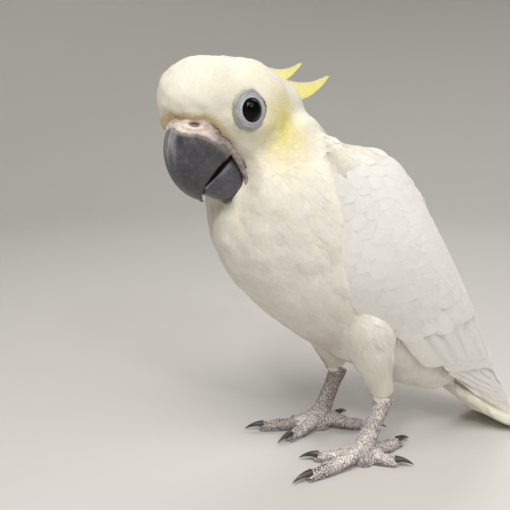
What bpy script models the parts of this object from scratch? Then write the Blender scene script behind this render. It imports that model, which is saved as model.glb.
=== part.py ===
"""White cockatoo with a yellow crest, a still life-size model.

Metres, +Z up. The bird looks along -Y, its left side is +X, and the floor is z = 0.
The solids are the outer shape of the plumage. Every piece is a closed solid in its own object,
and pieces that touch are parted by GAP.
"""

import math

import bmesh
import bpy
from mathutils import Matrix, Vector

MM = 0.001
GAP = 0.35 * MM
SIDES = {1: "left", -1: "right"}

# Head: its own frame stands at HEAD_AT, turned to the bird's left.
HEAD_AT = Vector((4.0, -55.0, 164.0)) * MM
HEAD_TURN = math.radians(24)
SKULL = dict(centre=(3.5, 0.0, 3.0), radii=(25.5, 21.0, 22.0))
FOREHEAD = dict(centre=(20.5, 0.0, 8.5), radii=(21.0, 16.0, 16.5))
CROWN_BACK = dict(centre=(-9.0, 0.0, 4.0), radii=(24.0, 14.5, 15.5))
CHEEKS = dict(centre=(-7.5, 0.0, -13.0), radii=(15.5, 18.0, 18.0))

EYE_PLACE = (12.0, 18.6, 3.0)
EYE_RADIUS = 4.8 * MM
EYE_SUNK = 0.4 * MM
EYE_RING_RADIUS = 7.7 * MM
EYE_RING_DEPTH = 2.4 * MM

EYE_SIDES = 16

CULMEN_CENTRE = (17.0, -13.0)
CULMEN_RADIUS = 22.0
CULMEN_FROM, CULMEN_TO = 30.0, -77.0

# Trunk and neck: places (y, z) of the middle line, half depth across it, half width, in mm.
BODY_LINE = {
    "tail_root": dict(at=(62, 31), depth=9, width=13),
    "vent": dict(at=(44, 44), depth=20, width=18),
    "loin": dict(at=(23, 67), depth=32, width=27),
    "belly": dict(at=(3, 88), depth=39.5, width=33),
    "breast": dict(at=(-22, 114.5), depth=43, width=35.5),
    "shoulders": dict(at=(-35.7, 135), depth=39, width=32.5),
    "neck": dict(at=(-40.2, 150.4), depth=25.3, width=22.5),
    "nape": dict(at=(-45, 164), depth=21, width=19),
}
NECK_CUT = dict(at=(-40, 141), lean=52)
HEAD_CUT = dict(at=(-47, 152), lean=38)

# Folded wing: a leaf from the wrist to the tip of the primaries, in side view (y, z), in mm.
WING_WRIST = Vector((0, -21, 150)) * MM
WING_TIP = Vector((0, 95, 9)) * MM
WING_FORE_EDGE = (
    (0, 4), (0.05, 9), (0.12, 15), (0.20, 24), (0.28, 28), (0.50, 27.5), (0.68, 21.5), (0.84, 12), (1, 1.5),
)
WING_BACK_EDGE = (
    (0, 5), (0.06, 15.5), (0.13, 20.5), (0.22, 20.8), (0.39, 17.8), (0.58, 13.2), (0.79, 7.2), (1, 2.5),
)
WING_BACK_TURN = ((0, 52), (0.15, 60), (0.5, 84), (1, 86))
WING_REACH = ((0, 33), (0.12, 40), (0.30, 43), (0.50, 38), (0.68, 27), (0.84, 17), (1, 9))
WING_THICK = ((0, 5), (0.12, 9), (0.35, 8), (0.60, 6), (0.80, 3.5), (1, 1.2))
WING_PARTS = {"coverts": (0.0, 0.47), "secondaries": (0.47, 0.70), "primaries": (0.70, 1.0)}

# Tail: side view (y, z of its middle), half width, thickness, in mm.
TAIL_LINE = ((57, 28), (76, 13.2), (96, 3.6), (119, 1.5), (143, 1.0), (152, 0.8))
TAIL_WIDTH = (12, 15.5, 19, 22, 22.5, 18)
TAIL_THICK = (9, 6.5, 4.8, 3.6, 2.6, 1.8)

# Legs. The left and right sides differ only in their sign and in how far forward they stand.
LEG_X = 20.5
LEG_STEP = {"left": 0.0, "right": 5.0}
THIGH_TOP = (-1, 86)
THIGH_END = (9, 35)
THIGH_RADII = ((0, 6), (0.16, 11), (0.35, 12.5), (0.55, 10.5), (0.8, 7.4), (1, 5.2))
ANKLE = (10.5, 33)
FOOT_ROOT = (0.5, 8.5)
SHANK_RADII = (4.4, 3.5, 3.7, 4.6)
TOES = {
    "inner_front": dict(turn=-23, length=21, radius=3.0, ahead=1),
    "outer_front": dict(turn=12, length=30, radius=3.2, ahead=1),
    "inner_back": dict(turn=-28, length=14, radius=2.8, ahead=-1),
    "outer_back": dict(turn=22, length=25, radius=3.0, ahead=-1),
}
CLAW_LENGTH = 10.0
SOLE_CUT = 0.5

# Crest: long narrow feathers that lie back over the crown and turn up at the tip.
CREST = (
    dict(name="crest_front", root=(11, 0, 23.6), tip=(-18, 0, 19.6), sag=-0.6, width=4.5),
    dict(name="crest_mid_left", root=(-2, 4.0, 20.0), tip=(-33, 2.5, 24), sag=4.5, width=6.5),
    dict(name="crest_mid_right", root=(-2, -4.0, 20.0), tip=(-36, -2.5, 23), sag=4.5, width=6.5),
    dict(name="crest_long_left", root=(-9, 3.5, 14.5), tip=(-52, 2, 18.5), sag=5.5, width=9.0),
    dict(name="crest_long_right", root=(-9, -3.5, 14.5), tip=(-55, -2, 16.5), sag=5.5, width=9.0),
)

COLOURS = {
    "plumage": ((0.86, 0.84, 0.76), 0.85),
    "yellow_feather": ((0.86, 0.78, 0.22), 0.80),
    "bill": ((0.055, 0.052, 0.060), 0.40),
    "cere": ((0.72, 0.60, 0.53), 0.60),
    "eye": ((0.012, 0.010, 0.010), 0.08),
    "eye_ring": ((0.62, 0.66, 0.72), 0.55),
    "foot": ((0.33, 0.30, 0.31), 0.75),
    "claw": ((0.050, 0.045, 0.045), 0.35),
}


# ---------------------------------------------------------------- small helpers


def clear_scene():
    for thing in list(bpy.data.objects):
        bpy.data.objects.remove(thing)


def material(slot):
    found = bpy.data.materials.get(slot)
    if found:
        return found
    colour, roughness = COLOURS[slot]
    made = bpy.data.materials.new(slot)
    made.use_nodes = True
    shader = made.node_tree.nodes["Principled BSDF"]
    shader.inputs["Base Color"].default_value = (*colour, 1)
    shader.inputs["Roughness"].default_value = roughness
    shader.inputs["Metallic"].default_value = 0
    return made


def add_object(name, mesh, slot):
    """A named object with its own finish, shaded smooth but for sharp edges."""
    mesh.name = name
    mesh.materials.clear()
    mesh.materials.append(material(slot))
    mesh.shade_smooth()
    mesh.set_sharp_from_angle(angle=math.radians(50))
    made = bpy.data.objects.new(name, mesh)
    bpy.context.scene.collection.objects.link(made)
    return made


def through(knots, t):
    """A smooth value at t through a few (place, value) knots."""
    places = [k[0] for k in knots]
    i = max(k for k in range(len(places) - 1) if k == 0 or places[k] <= t)
    a, b = knots[i], knots[i + 1]
    before = knots[i - 1] if i > 0 else a
    after = knots[i + 2] if i + 2 < len(knots) else b
    u = (t - a[0]) / (b[0] - a[0])
    slope_a = (b[1] - before[1]) / (b[0] - before[0]) * (b[0] - a[0])
    slope_b = (after[1] - a[1]) / (after[0] - a[0]) * (b[0] - a[0])
    return (
        a[1] * (2 * u**3 - 3 * u**2 + 1)
        + slope_a * (u**3 - 2 * u**2 + u)
        + b[1] * (3 * u**2 - 2 * u**3)
        + slope_b * (u**3 - u**2)
    )


def ring_mesh(rings, closed=False):
    """A solid round a list of rings of points: flat at each end, or joined up into a loop."""
    bm = bmesh.new()
    loops = [[bm.verts.new(p) for p in ring] for ring in rings]
    pairs = list(zip(loops, loops[1:]))
    if closed:
        pairs.append((loops[-1], loops[0]))
    for one, two in pairs:
        for k in range(len(one)):
            n = (k + 1) % len(one)
            bm.faces.new((one[k], one[n], two[n], two[k]))
    if not closed:
        bm.faces.new(loops[0])
        bm.faces.new(loops[-1])
    bmesh.ops.recalc_face_normals(bm, faces=bm.faces)
    mesh = bpy.data.meshes.new("ring_mesh")
    bm.to_mesh(mesh)
    bm.free()
    return mesh


def oval(centre, across, side, count, power=1.0):
    """A ring of points: across and side are its two half axes, and power squares it a little."""
    points = []
    for k in range(count):
        angle = 2 * math.pi * k / count
        c, s = math.cos(angle), math.sin(angle)
        c = math.copysign(abs(c) ** power, c)
        s = math.copysign(abs(s) ** power, s)
        points.append(centre + across * c + side * s)
    return points


def rounded_ends(count, rounding):
    """Places along a loft and the size there, so that both ends close in a round nose."""
    steps = [(0.0, 0.25), (0.35, 0.62), (0.7, 0.86)]
    head = [(t * rounding, size) for t, size in steps]
    middle = [
        (rounding + (1 - 2 * rounding) * k / (count - 1), 1.0) for k in range(count)
    ]
    return head + middle + [(1 - t, size) for t, size in reversed(head)]


def merged(meshes, voxel, smoothing, triangles):
    """One smooth closed mesh of several that overlap, thinned to about that many triangles."""
    bm = bmesh.new()
    for mesh in meshes:
        bm.from_mesh(mesh)
    whole = bpy.data.meshes.new("whole")
    bm.to_mesh(whole)
    bm.free()
    thing = bpy.data.objects.new("whole", whole)
    bpy.context.scene.collection.objects.link(thing)
    remesh = thing.modifiers.new("Remesh", "REMESH")
    remesh.mode = "VOXEL"
    remesh.voxel_size = voxel
    smooth = thing.modifiers.new("Smooth", "SMOOTH")
    smooth.factor = 0.5
    smooth.iterations = smoothing
    faces = 2 * len(evaluated(thing).polygons)
    thin = thing.modifiers.new("Decimate", "DECIMATE")
    thin.ratio = min(1.0, triangles / faces)
    made = evaluated(thing)
    bpy.data.objects.remove(thing)
    return made


def evaluated(thing):
    bpy.context.view_layer.update()
    graph = bpy.context.evaluated_depsgraph_get()
    return bpy.data.meshes.new_from_object(thing.evaluated_get(graph))


def swollen(mesh, by):
    """A copy of a mesh pushed out along its normals."""
    bm = bmesh.new()
    bm.from_mesh(mesh)
    bm.normal_update()
    bmesh.ops.triangulate(bm, faces=bm.faces)
    for v in bm.verts:
        v.co += v.normal * by * min(2.0, v.calc_shell_factor())
    made = bpy.data.meshes.new("swollen")
    bm.to_mesh(made)
    bm.free()
    return made


def largest_piece(mesh):
    """The mesh without the small islands that a cut can leave."""
    bm = bmesh.new()
    bm.from_mesh(mesh)
    islands, unseen = [], set(bm.verts)
    while unseen:
        found, edge = set(), [unseen.pop()]
        while edge:
            v = edge.pop()
            found.add(v)
            near = {e.other_vert(v) for e in v.link_edges} & unseen
            unseen -= near
            edge.extend(near)
        islands.append(found)
    def bulk(isle):
        faces = {f for v in isle for f in v.link_faces}
        return sum(f.calc_center_median().dot(f.normal) * f.calc_area() for f in faces)

    islands.sort(key=bulk)
    bmesh.ops.delete(bm, geom=[v for isle in islands[:-1] for v in isle])
    bm.to_mesh(mesh)
    bm.free()
    return mesh


def carved(mesh, cutters):
    """The mesh with room cut in it for the cutters, GAP wider than they are."""
    tools = bmesh.new()
    for cutter in cutters:
        tools.from_mesh(swollen(cutter, GAP))
    joined = bpy.data.meshes.new("tools")
    tools.to_mesh(joined)
    tools.free()
    host = bpy.data.objects.new("host", mesh)
    tool = bpy.data.objects.new("tool", joined)
    for o in (host, tool):
        bpy.context.scene.collection.objects.link(o)
    cut = host.modifiers.new("Cut", "BOOLEAN")
    cut.operation = "DIFFERENCE"
    cut.solver = "EXACT"
    cut.use_self = True
    cut.object = tool
    made = largest_piece(cleaned(evaluated(host)))
    for o in (host, tool):
        bpy.data.objects.remove(o)
    return made


def cleaned(mesh):
    """The mesh in triangles, with its needle-thin faces closed up."""
    bm = bmesh.new()
    bm.from_mesh(mesh)
    bmesh.ops.remove_doubles(bm, verts=bm.verts, dist=0.02 * MM)
    bmesh.ops.dissolve_degenerate(bm, edges=bm.edges, dist=0.02 * MM)
    bmesh.ops.dissolve_limit(bm, verts=bm.verts, edges=bm.edges, angle_limit=math.radians(2))
    bmesh.ops.triangulate(bm, faces=bm.faces)
    bm.to_mesh(mesh)
    bm.free()
    return mesh


def half(mesh, point, normal):
    """The part of the mesh behind a plane, closed where it was cut."""
    bm = bmesh.new()
    bm.from_mesh(mesh)
    geom = bm.verts[:] + bm.edges[:] + bm.faces[:]
    cut = bmesh.ops.bisect_plane(
        bm, geom=geom, dist=1e-6, plane_co=point, plane_no=normal, clear_outer=True
    )
    rim = [e for e in cut["geom_cut"] if isinstance(e, bmesh.types.BMEdge)]
    bmesh.ops.edgeloop_fill(bm, edges=rim)
    bmesh.ops.recalc_face_normals(bm, faces=bm.faces)
    made = bpy.data.meshes.new("half")
    bm.to_mesh(made)
    bm.free()
    return made


def parted(mesh, point, normal):
    """Both sides of a thin plane cut: behind it and in front of it."""
    away = normal.normalized() * GAP / 2
    return half(mesh, point - away, normal), half(mesh, point + away, -normal)


# ---------------------------------------------------------------- head


def head_matrix():
    return Matrix.Translation(HEAD_AT) @ Matrix.Rotation(HEAD_TURN, 4, "Z")


def in_head(forward, left, up):
    """A point given in the head's own frame, in mm."""
    return head_matrix() @ (Vector((left, -forward, up)) * MM)


def head_ball(centre, radii):
    forward, left, up = radii
    bm = bmesh.new()
    bmesh.ops.create_uvsphere(bm, u_segments=32, v_segments=20, radius=MM)
    for v in bm.verts:
        x, y, z = v.co
        v.co = in_head(
            centre[0] - y * forward / MM, centre[1] + x * left / MM, centre[2] + z * up / MM
        )
    mesh = bpy.data.meshes.new("ball")
    bm.to_mesh(mesh)
    bm.free()
    return mesh


def turned(profile, place, facing):
    """A turned solid: profile is (radius, height) from the foot to the top, on its axis."""
    turn = facing.to_track_quat("Z", "Y").to_matrix()
    rings = []
    for radius, height in profile:
        middle = place + facing * height
        rings.append(oval(middle, turn.col[0] * radius, turn.col[1] * radius, EYE_SIDES))
    return ring_mesh(rings)


def eye_pose(side):
    forward, left, up = EYE_PLACE
    facing = (in_head(0.10, side, 0.03) - in_head(0, 0, 0)).normalized()
    return in_head(forward, side * left, up), facing


def build_eye(side):
    """The front of the eyeball, which stands a little proud of its ring."""
    place, facing = eye_pose(side)
    middle = place - facing * EYE_SUNK
    profile = [
        (EYE_RADIUS * math.sin(a), -EYE_RADIUS * math.cos(a))
        for a in (math.radians(degrees) for degrees in (60, 90, 115, 135, 152, 168))
    ]
    return turned(profile, middle, facing)


def build_eye_ring(side):
    """The bare ring of skin, a low dish that clears the eye in its middle."""
    place, facing = eye_pose(side)
    across = facing.to_track_quat("Z", "Y").to_matrix()
    hole, lip = EYE_RADIUS + GAP, 1.5 * MM
    profile = [
        (math.sqrt(hole**2 - (EYE_SUNK + lip) ** 2), lip),
        (math.sqrt(hole**2 - (EYE_SUNK + lip / 2) ** 2), lip / 2),
        (hole, -EYE_SUNK),
        (hole, -EYE_RING_DEPTH),
        (EYE_RING_RADIUS * 0.93, -EYE_RING_DEPTH),
        (EYE_RING_RADIUS, 0.2 * MM),
        (EYE_RING_RADIUS * 0.84, 1.0 * MM),
    ]
    rings = []
    for k in range(EYE_SIDES):
        angle = 2 * math.pi * k / EYE_SIDES
        out = across.col[0] * math.cos(angle) + across.col[1] * math.sin(angle)
        rings.append([place + out * radius + facing * height for radius, height in profile])
    return ring_mesh(rings, closed=True)


def bill_ring(front, back, half_width, count=14, ridge=0.8, wall=0.45):
    """A ring of the bill between its front and back points (forward, up), in mm.

    The front half is rounded by ridge, and the back half is a flatter wall.
    """
    middle = [(a + b) / 2 for a, b in zip(front, back)]
    reach = [(a - b) / 2 for a, b in zip(front, back)]
    points = []
    for k in range(count):
        angle = 2 * math.pi * k / count
        along, side = math.cos(angle), math.sin(angle)
        power = ridge if along > -1e-6 else wall
        along = math.copysign(abs(along) ** power, along)
        side = math.copysign(abs(side) ** power, side)
        points.append(
            in_head(middle[0] + reach[0] * along, half_width * side, middle[1] + reach[1] * along)
        )
    return points


def culmen(t):
    """The bill's front ridge, an arc from the forehead to the tip."""
    angle = math.radians(CULMEN_FROM + (CULMEN_TO - CULMEN_FROM) * t)
    return (
        CULMEN_CENTRE[0] + CULMEN_RADIUS * math.cos(angle),
        CULMEN_CENTRE[1] + CULMEN_RADIUS * math.sin(angle),
    )


def build_upper_bill():
    back = ((0, (13, -4)), (0.25, (9.5, -12.5)), (0.5, (17.5, -19.5)), (0.7, (22.5, -25)))
    back += ((0.85, (25, -29.5)), (1, (23.4, -34.4)))
    width = ((0, 8.6), (0.25, 10.4), (0.5, 8.6), (0.7, 6.4), (0.85, 4.2), (1, 1.0))
    rings = []
    count = 12
    for k in range(count):
        t = k / (count - 1)
        rings.append(bill_ring(culmen(t), pair_through(back, t), through(width, t)))
    return ring_mesh(rings)


def build_lower_bill():
    """The lower mandible, from under the cheek to its blunt front edge."""
    top = ((0, (2.0, -15.0)), (0.3, (9.0, -17.0)), (0.6, (16.0, -22.0)), (1, (22.8, -28.9)))
    foot = ((0, (-1.0, -24.0)), (0.3, (4.5, -31.0)), (0.6, (12.5, -35.5)), (1, (22.0, -33.2)))
    width = ((0, 8.5), (0.3, 10.4), (0.6, 9.2), (1, 4.4))
    rings = []
    count = 8
    for k in range(count):
        t = k / (count - 1)
        rings.append(bill_ring(pair_through(foot, t), pair_through(top, t), through(width, t)))
    return ring_mesh(rings)


def pair_through(knots, t):
    """A smooth pair of values at t through a few (place, (value, value)) knots."""
    return tuple(through([(place, pair[axis]) for place, pair in knots], t) for axis in (0, 1))


def build_cere(upper_bill):
    """The fleshy pad over the root of the bill, with a nostril at each side."""
    rings = []
    for forward, front_up, back_up, wide in (
        (19, 6.0, -14.0, 9.0),
        (24, 6.5, -13.0, 10.8),
        (29, 5.2, -9.0, 10.2),
        (33.5, 2.6, -5.5, 7.8),
        (36.4, -0.6, -4.2, 4.4),
    ):
        rings.append(bill_ring((forward, front_up), (forward - 4, back_up), wide, 14, 0.85, 0.85))
    return carved(ring_mesh(rings), [upper_bill])


def build_crest_feather(root, tip, sag, width, **_):
    """A narrow blade that lies back from the root, hangs by sag and turns up to its tip."""
    rings = []
    count = 7
    for k in range(count):
        t = k / (count - 1)
        forward = root[0] + (tip[0] - root[0]) * t
        left = root[1] + (tip[1] - root[1]) * t
        up = root[2] + (tip[2] - root[2]) * t - sag * math.sin(math.pi * t) * (0.4 + t)
        blade = width * math.sin(math.pi * (0.30 + 0.65 * t)) ** 0.7 / 2
        thick = 1.1 - 0.5 * t
        centre = in_head(forward, left, up)
        across = (in_head(0, thick / 2, 0) - in_head(0, 0, 0))
        side = (in_head(0, 0, blade) - in_head(0, 0, 0))
        rings.append(oval(centre, across, side, 6))
    return ring_mesh(rings)


# ---------------------------------------------------------------- trunk, neck and wings


def body_mesh():
    """The trunk and neck as one loft along their middle line."""
    stations = list(BODY_LINE.values())
    last = len(stations) - 1

    def knots(key, axis=None):
        return [
            (k / last, s[key] if axis is None else s[key][axis]) for k, s in enumerate(stations)
        ]

    def middle(t):
        return Vector((0, through(knots("at", 0), t), through(knots("at", 1), t))) * MM

    rings = []
    for t, size in rounded_ends(18, 0.08):
        ahead = (middle(min(1, t + 0.02)) - middle(max(0, t - 0.02))).normalized()
        up = Vector((1, 0, 0)).cross(ahead)
        depth = through(knots("depth"), t) * size * MM
        width = through(knots("width"), t) * size * MM
        rings.append(oval(middle(t), up * depth, Vector((width, 0, 0)), 30))
    return ring_mesh(rings)


def flesh_mesh():
    """Head, neck and trunk in one skin."""
    parts = [body_mesh()]
    parts += [head_ball(**ball) for ball in (SKULL, FOREHEAD, CROWN_BACK, CHEEKS)]
    return merged(parts, voxel=2.2 * MM, smoothing=9, triangles=1720)


def cut_plane(at, lean):
    """A plane across the neck: its point on the middle line, and its upward normal."""
    angle = math.radians(lean)
    return Vector((0, at[0], at[1])) * MM, Vector((0, -math.sin(angle), math.cos(angle)))


def wing_ring(side, s, fore, back, reach, thick, back_turn):
    """A curved lens across the wing at s, from its fore edge round to the edge on the back."""
    along = WING_TIP - WING_WRIST
    outward = Vector((0, -along.z, along.y)).normalized()
    centre = WING_WRIST + along * s
    fore_angle, back_angle = math.radians(-42), math.radians(back_turn)
    steps = 7
    outer, inner = [], []
    for k in range(steps + 1):
        u = k / steps
        angle = fore_angle + (back_angle - fore_angle) * u
        rise = back / math.sin(back_angle) if angle > 0 else fore / math.sin(-fore_angle)
        lens = thick * max(0.14, (4 * u * (1 - u)) ** 0.6)
        depth = math.sin(angle) * rise
        bulge = math.cos(angle) ** 0.75
        outer.append(centre + Vector((side * reach * bulge, 0, 0)) + outward * depth)
        shrink_x = (reach - lens) * bulge
        shrink_n = math.sin(angle) * max(rise - lens, 0.2 * rise)
        inner.append(centre + Vector((side * shrink_x, 0, 0)) + outward * shrink_n)
    return outer + inner[::-1]


def wing_mesh(side):
    rings = []
    count = 16
    for k in range(count):
        s = k / (count - 1)
        values = [
            through(line, s) * MM for line in (WING_FORE_EDGE, WING_BACK_EDGE, WING_REACH, WING_THICK)
        ]
        rings.append(wing_ring(side, s, *values, through(WING_BACK_TURN, s)))
    return ring_mesh(rings)


def wing_pieces(side):
    """The wing parted across into coverts, secondaries and primaries."""
    along = WING_TIP - WING_WRIST
    rest = wing_mesh(side)
    pieces = {}
    names = list(WING_PARTS)
    for name in names[:-1]:
        cut_at = WING_WRIST + along * WING_PARTS[name][1]
        pieces[name], rest = parted(rest, cut_at, along)
    pieces[names[-1]] = rest
    return pieces


def build_tail():
    """The closed tail, which slopes down to the floor and lies flat on it."""
    last = len(TAIL_LINE) - 1
    rings = []
    count = 12
    for k in range(count):
        t = k / (count - 1)

        def value(numbers):
            return through([(i / last, n) for i, n in enumerate(numbers)], t)

        y, z = value([p[0] for p in TAIL_LINE]), value([p[1] for p in TAIL_LINE])
        width, thick = value(TAIL_WIDTH), value(TAIL_THICK)
        rings.append(
            oval(
                Vector((0, y, z)) * MM,
                Vector((width, 0, 0)) * MM,
                Vector((0, 0, thick / 2)) * MM,
                12,
                0.8,
            )
        )
    return half(ring_mesh(rings), Vector((0, 0, 0)), Vector((0, 0, -1)))


# ---------------------------------------------------------------- legs


def leg_point(side, y, z, out=0.0):
    return Vector((side * (LEG_X + out), y - LEG_STEP[SIDES[side]], z)) * MM


def tube(points, radii, count=12):
    """A round tube through points with a radius at each."""
    rings = []
    for k, (p, r) in enumerate(zip(points, radii)):
        ahead = (points[min(k + 1, len(points) - 1)] - points[max(k - 1, 0)]).normalized()
        side = ahead.orthogonal().normalized()
        if abs(ahead.x) < 0.9:
            side = (Vector((1, 0, 0)) - ahead * ahead.x).normalized()
        rings.append(oval(p, side * r, ahead.cross(side) * r, count))
    return ring_mesh(rings)


def build_thigh(side):
    """The feathered upper leg."""
    top = leg_point(side, *THIGH_TOP, 3)
    end = leg_point(side, *THIGH_END)
    points, radii = [], []
    steps = 8
    for k in range(steps):
        t = k / (steps - 1)
        points.append(top.lerp(end, t) - Vector((0, 3 * math.sin(math.pi * t), 0)) * MM)
        radii.append(through(THIGH_RADII, t) * MM)
    return tube(points, radii, 12)


def build_shank(side):
    """The bare scaly leg between the feathers and the toes, with a round pad at its foot."""
    top = leg_point(side, *ANKLE)
    end = leg_point(side, *FOOT_ROOT)
    steps = len(SHANK_RADII) - 1
    points = [top.lerp(end, k / steps) for k in range(steps + 1)]
    radii = [r * MM for r in SHANK_RADII]
    points.append(end - Vector((0, 0, 4.5)) * MM)
    radii.append(5.4 * MM)
    points.append(end - Vector((0, 0, 9.4)) * MM)
    radii.append(4.2 * MM)
    return half(tube(points, radii, 10), Vector((0, 0, 0)), Vector((0, 0, -1)))


def toe_direction(side, turn, ahead):
    angle = math.radians(turn) * side
    return Vector((-math.sin(angle) * -1, -math.cos(angle), 0)) * ahead


def build_toe(side, turn, length, radius, ahead):
    """A toe with a swelling at each joint and a flat sole. It starts inside the foot's pad."""
    root = leg_point(side, FOOT_ROOT[0], 0)
    facing = toe_direction(side, turn, ahead)
    points, radii = [], []
    steps = 9
    for k in range(steps):
        t = k / (steps - 1)
        swell = 1 + 0.09 * math.cos(2 * math.pi * t * 3)
        taper = 1.12 - 0.34 * t
        r = radius * swell * taper
        if t > 0.9:
            r *= 0.86
        lift = radius * 1.5 * (1 - t) ** 3
        centre = root + facing * (2.5 + length * t) * MM
        points.append(centre + Vector((0, 0, r - SOLE_CUT + lift)) * MM)
        radii.append(r * MM)
    return half(tube(points, radii, 8), Vector((0, 0, 0)), Vector((0, 0, -1)))


def build_claw(side, turn, length, radius, ahead):
    """A claw that arches from the toe's end down to the floor."""
    root = leg_point(side, FOOT_ROOT[0], 0)
    facing = toe_direction(side, turn, ahead)
    size = CLAW_LENGTH * (0.8 + 0.2 * length / 30)
    start = root + facing * (2.5 + length - 1.6) * MM
    points, radii = [], []
    steps = 6
    for k in range(steps):
        t = k / (steps - 1)
        arch = math.sin(math.pi * (0.12 + 0.62 * t)) * 2.4 - 1.2 * t
        height = radius * 0.95 * (1 - t) + 0.9 * t + arch * 0.9
        points.append(start + facing * size * t * MM + Vector((0, 0, height)) * MM)
        radii.append((1.75 * (1 - t) ** 0.8 + 0.32) * MM)
    return tube(points, radii, 6)


def build_leg(side):
    """Every bare piece of one leg, parted where they meet."""
    name = SIDES[side]
    shank = build_shank(side)
    pieces = {f"shank_{name}": (shank, "foot")}
    blockers = [shank]
    for toe, sizes in TOES.items():
        claw = build_claw(side, **sizes)
        solid = carved(build_toe(side, **sizes), blockers + [claw])
        pieces[f"toe_{toe}_{name}"] = (solid, "foot")
        pieces[f"claw_{toe}_{name}"] = (claw, "claw")
        blockers.append(solid)
    return pieces


# ---------------------------------------------------------------- the bird


def build_bird():
    pieces = {}
    upper, lower = build_upper_bill(), build_lower_bill()
    cere = build_cere(upper)
    pieces["bill_upper"] = (upper, "bill")
    pieces["bill_lower"] = (lower, "bill")
    pieces["cere"] = (cere, "cere")
    head_tools = [upper, lower, cere]
    for side, name in SIDES.items():
        ring = build_eye_ring(side)
        eye = build_eye(side)
        pieces[f"eye_{name}"] = (eye, "eye")
        pieces[f"eye_ring_{name}"] = (ring, "eye_ring")
        head_tools += [eye, ring]

    thighs = {side: build_thigh(side) for side in SIDES}
    wings = {side: wing_mesh(side) for side in SIDES}
    tail = build_tail()

    torso, head = parted(flesh_mesh(), *cut_plane(**HEAD_CUT))
    trunk, neck = parted(torso, *cut_plane(**NECK_CUT))
    head = carved(head, head_tools)
    crest_tools = []
    for feather in CREST:
        blade = carved(build_crest_feather(**feather), [head] + crest_tools)
        pieces[feather["name"]] = (blade, "yellow_feather")
        crest_tools.append(blade)
    neck = carved(neck, [wings[1], wings[-1], lower])
    trunk = carved(trunk, [wings[1], wings[-1], thighs[1], thighs[-1], tail])
    pieces["head"] = (head, "plumage")
    pieces["neck"] = (neck, "plumage")
    pieces["trunk"] = (trunk, "plumage")
    pieces["tail"] = (tail, "plumage")

    for side, name in SIDES.items():
        leg = build_leg(side)
        pieces.update(leg)
        thigh = carved(thighs[side], [leg[f"shank_{name}"][0], wings[side]])
        pieces[f"thigh_{name}"] = (thigh, "plumage")
        for part, mesh in wing_pieces(side).items():
            pieces[f"wing_{part}_{name}"] = (mesh, "plumage")
    centre_on_floor([mesh for mesh, _ in pieces.values()])
    for name, (mesh, slot) in pieces.items():
        add_object(name, mesh, slot)


def centre_on_floor(meshes):
    """Slide the bird along its length so that the origin is at the middle of its base."""
    along = [v.co.y for mesh in meshes for v in mesh.vertices]
    middle = (min(along) + max(along)) / 2
    for mesh in meshes:
        mesh.transform(Matrix.Translation((0, -middle, 0)))


clear_scene()
build_bird()
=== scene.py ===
import math

import bmesh
import bpy
import numpy as np
from mathutils import Matrix, Vector
from mathutils.bvhtree import BVHTree
from mathutils.kdtree import KDTree


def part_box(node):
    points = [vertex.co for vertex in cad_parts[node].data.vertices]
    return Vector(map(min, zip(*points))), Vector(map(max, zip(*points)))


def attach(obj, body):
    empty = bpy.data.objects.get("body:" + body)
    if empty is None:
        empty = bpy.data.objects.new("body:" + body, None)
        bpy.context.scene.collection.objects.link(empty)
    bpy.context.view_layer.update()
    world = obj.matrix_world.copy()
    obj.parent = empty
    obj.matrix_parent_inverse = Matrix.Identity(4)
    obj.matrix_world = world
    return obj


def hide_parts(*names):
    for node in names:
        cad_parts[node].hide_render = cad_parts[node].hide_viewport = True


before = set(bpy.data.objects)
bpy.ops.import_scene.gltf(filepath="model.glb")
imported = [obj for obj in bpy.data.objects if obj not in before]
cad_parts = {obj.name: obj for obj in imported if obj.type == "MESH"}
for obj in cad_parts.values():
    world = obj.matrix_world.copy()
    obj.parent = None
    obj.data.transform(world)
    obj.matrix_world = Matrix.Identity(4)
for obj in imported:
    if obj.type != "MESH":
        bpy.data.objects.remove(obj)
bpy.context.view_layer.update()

mm = 0.001
fullTurn = 2 * math.pi
weld = 0.002 * mm
sides = {"left": 1, "right": -1}
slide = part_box("tail")[1].y - 152 * mm  # the solids were slid by this much to centre their base
rng = np.random.default_rng(11)

cameraSetup = dict(aim=(0, -0.0774, 0.1021), azimuth=72, elevation=12, distance=0.305)
lens = 46.87
studio = dict(
    aim=(0, 0, 0.09), worldLight=0.23, worldColour=(1.0, 0.975, 0.94),
    lamps={
        "key": dict(azimuth=52, elevation=60, distance=1.1, size=0.5, power=6.2, colour=(1, 0.97, 0.93)),
        "fill": dict(azimuth=104, elevation=50, distance=1.2, size=0.9, power=4.6, colour=(1, 0.97, 0.94)),
        "rim": dict(azimuth=235, elevation=50, distance=1.2, size=0.6, power=4.0, colour=(1, 0.98, 0.96)),
        "sparkleHigh": dict(azimuth=50, elevation=42, distance=0.9, size=0.10, power=1.5, colour=(1, 1, 1)),
        "sparkleLow": dict(azimuth=88, elevation=36, distance=0.9, size=0.08, power=1.0, colour=(1, 1, 1)),
    },
)
bowl = dict(radius=1.5, height=2.6, curve=0.7, colour=(0.60, 0.59, 0.57), roughness=0.6)


def aimed(data, aim, azimuth, elevation, distance):
    # an object that looks at aim from a distance; at azimuth 0 it stands before the bird
    a, e = math.radians(azimuth), math.radians(elevation)
    back = Vector((math.sin(a) * math.cos(e), -math.cos(a) * math.cos(e), math.sin(e)))
    thing = bpy.data.objects.new(data.name, data)
    thing.location = Vector(aim) + back * distance
    thing.rotation_euler = (-back).to_track_quat("-Z", "Y").to_euler()
    bpy.context.scene.collection.objects.link(thing)
    return thing


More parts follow.
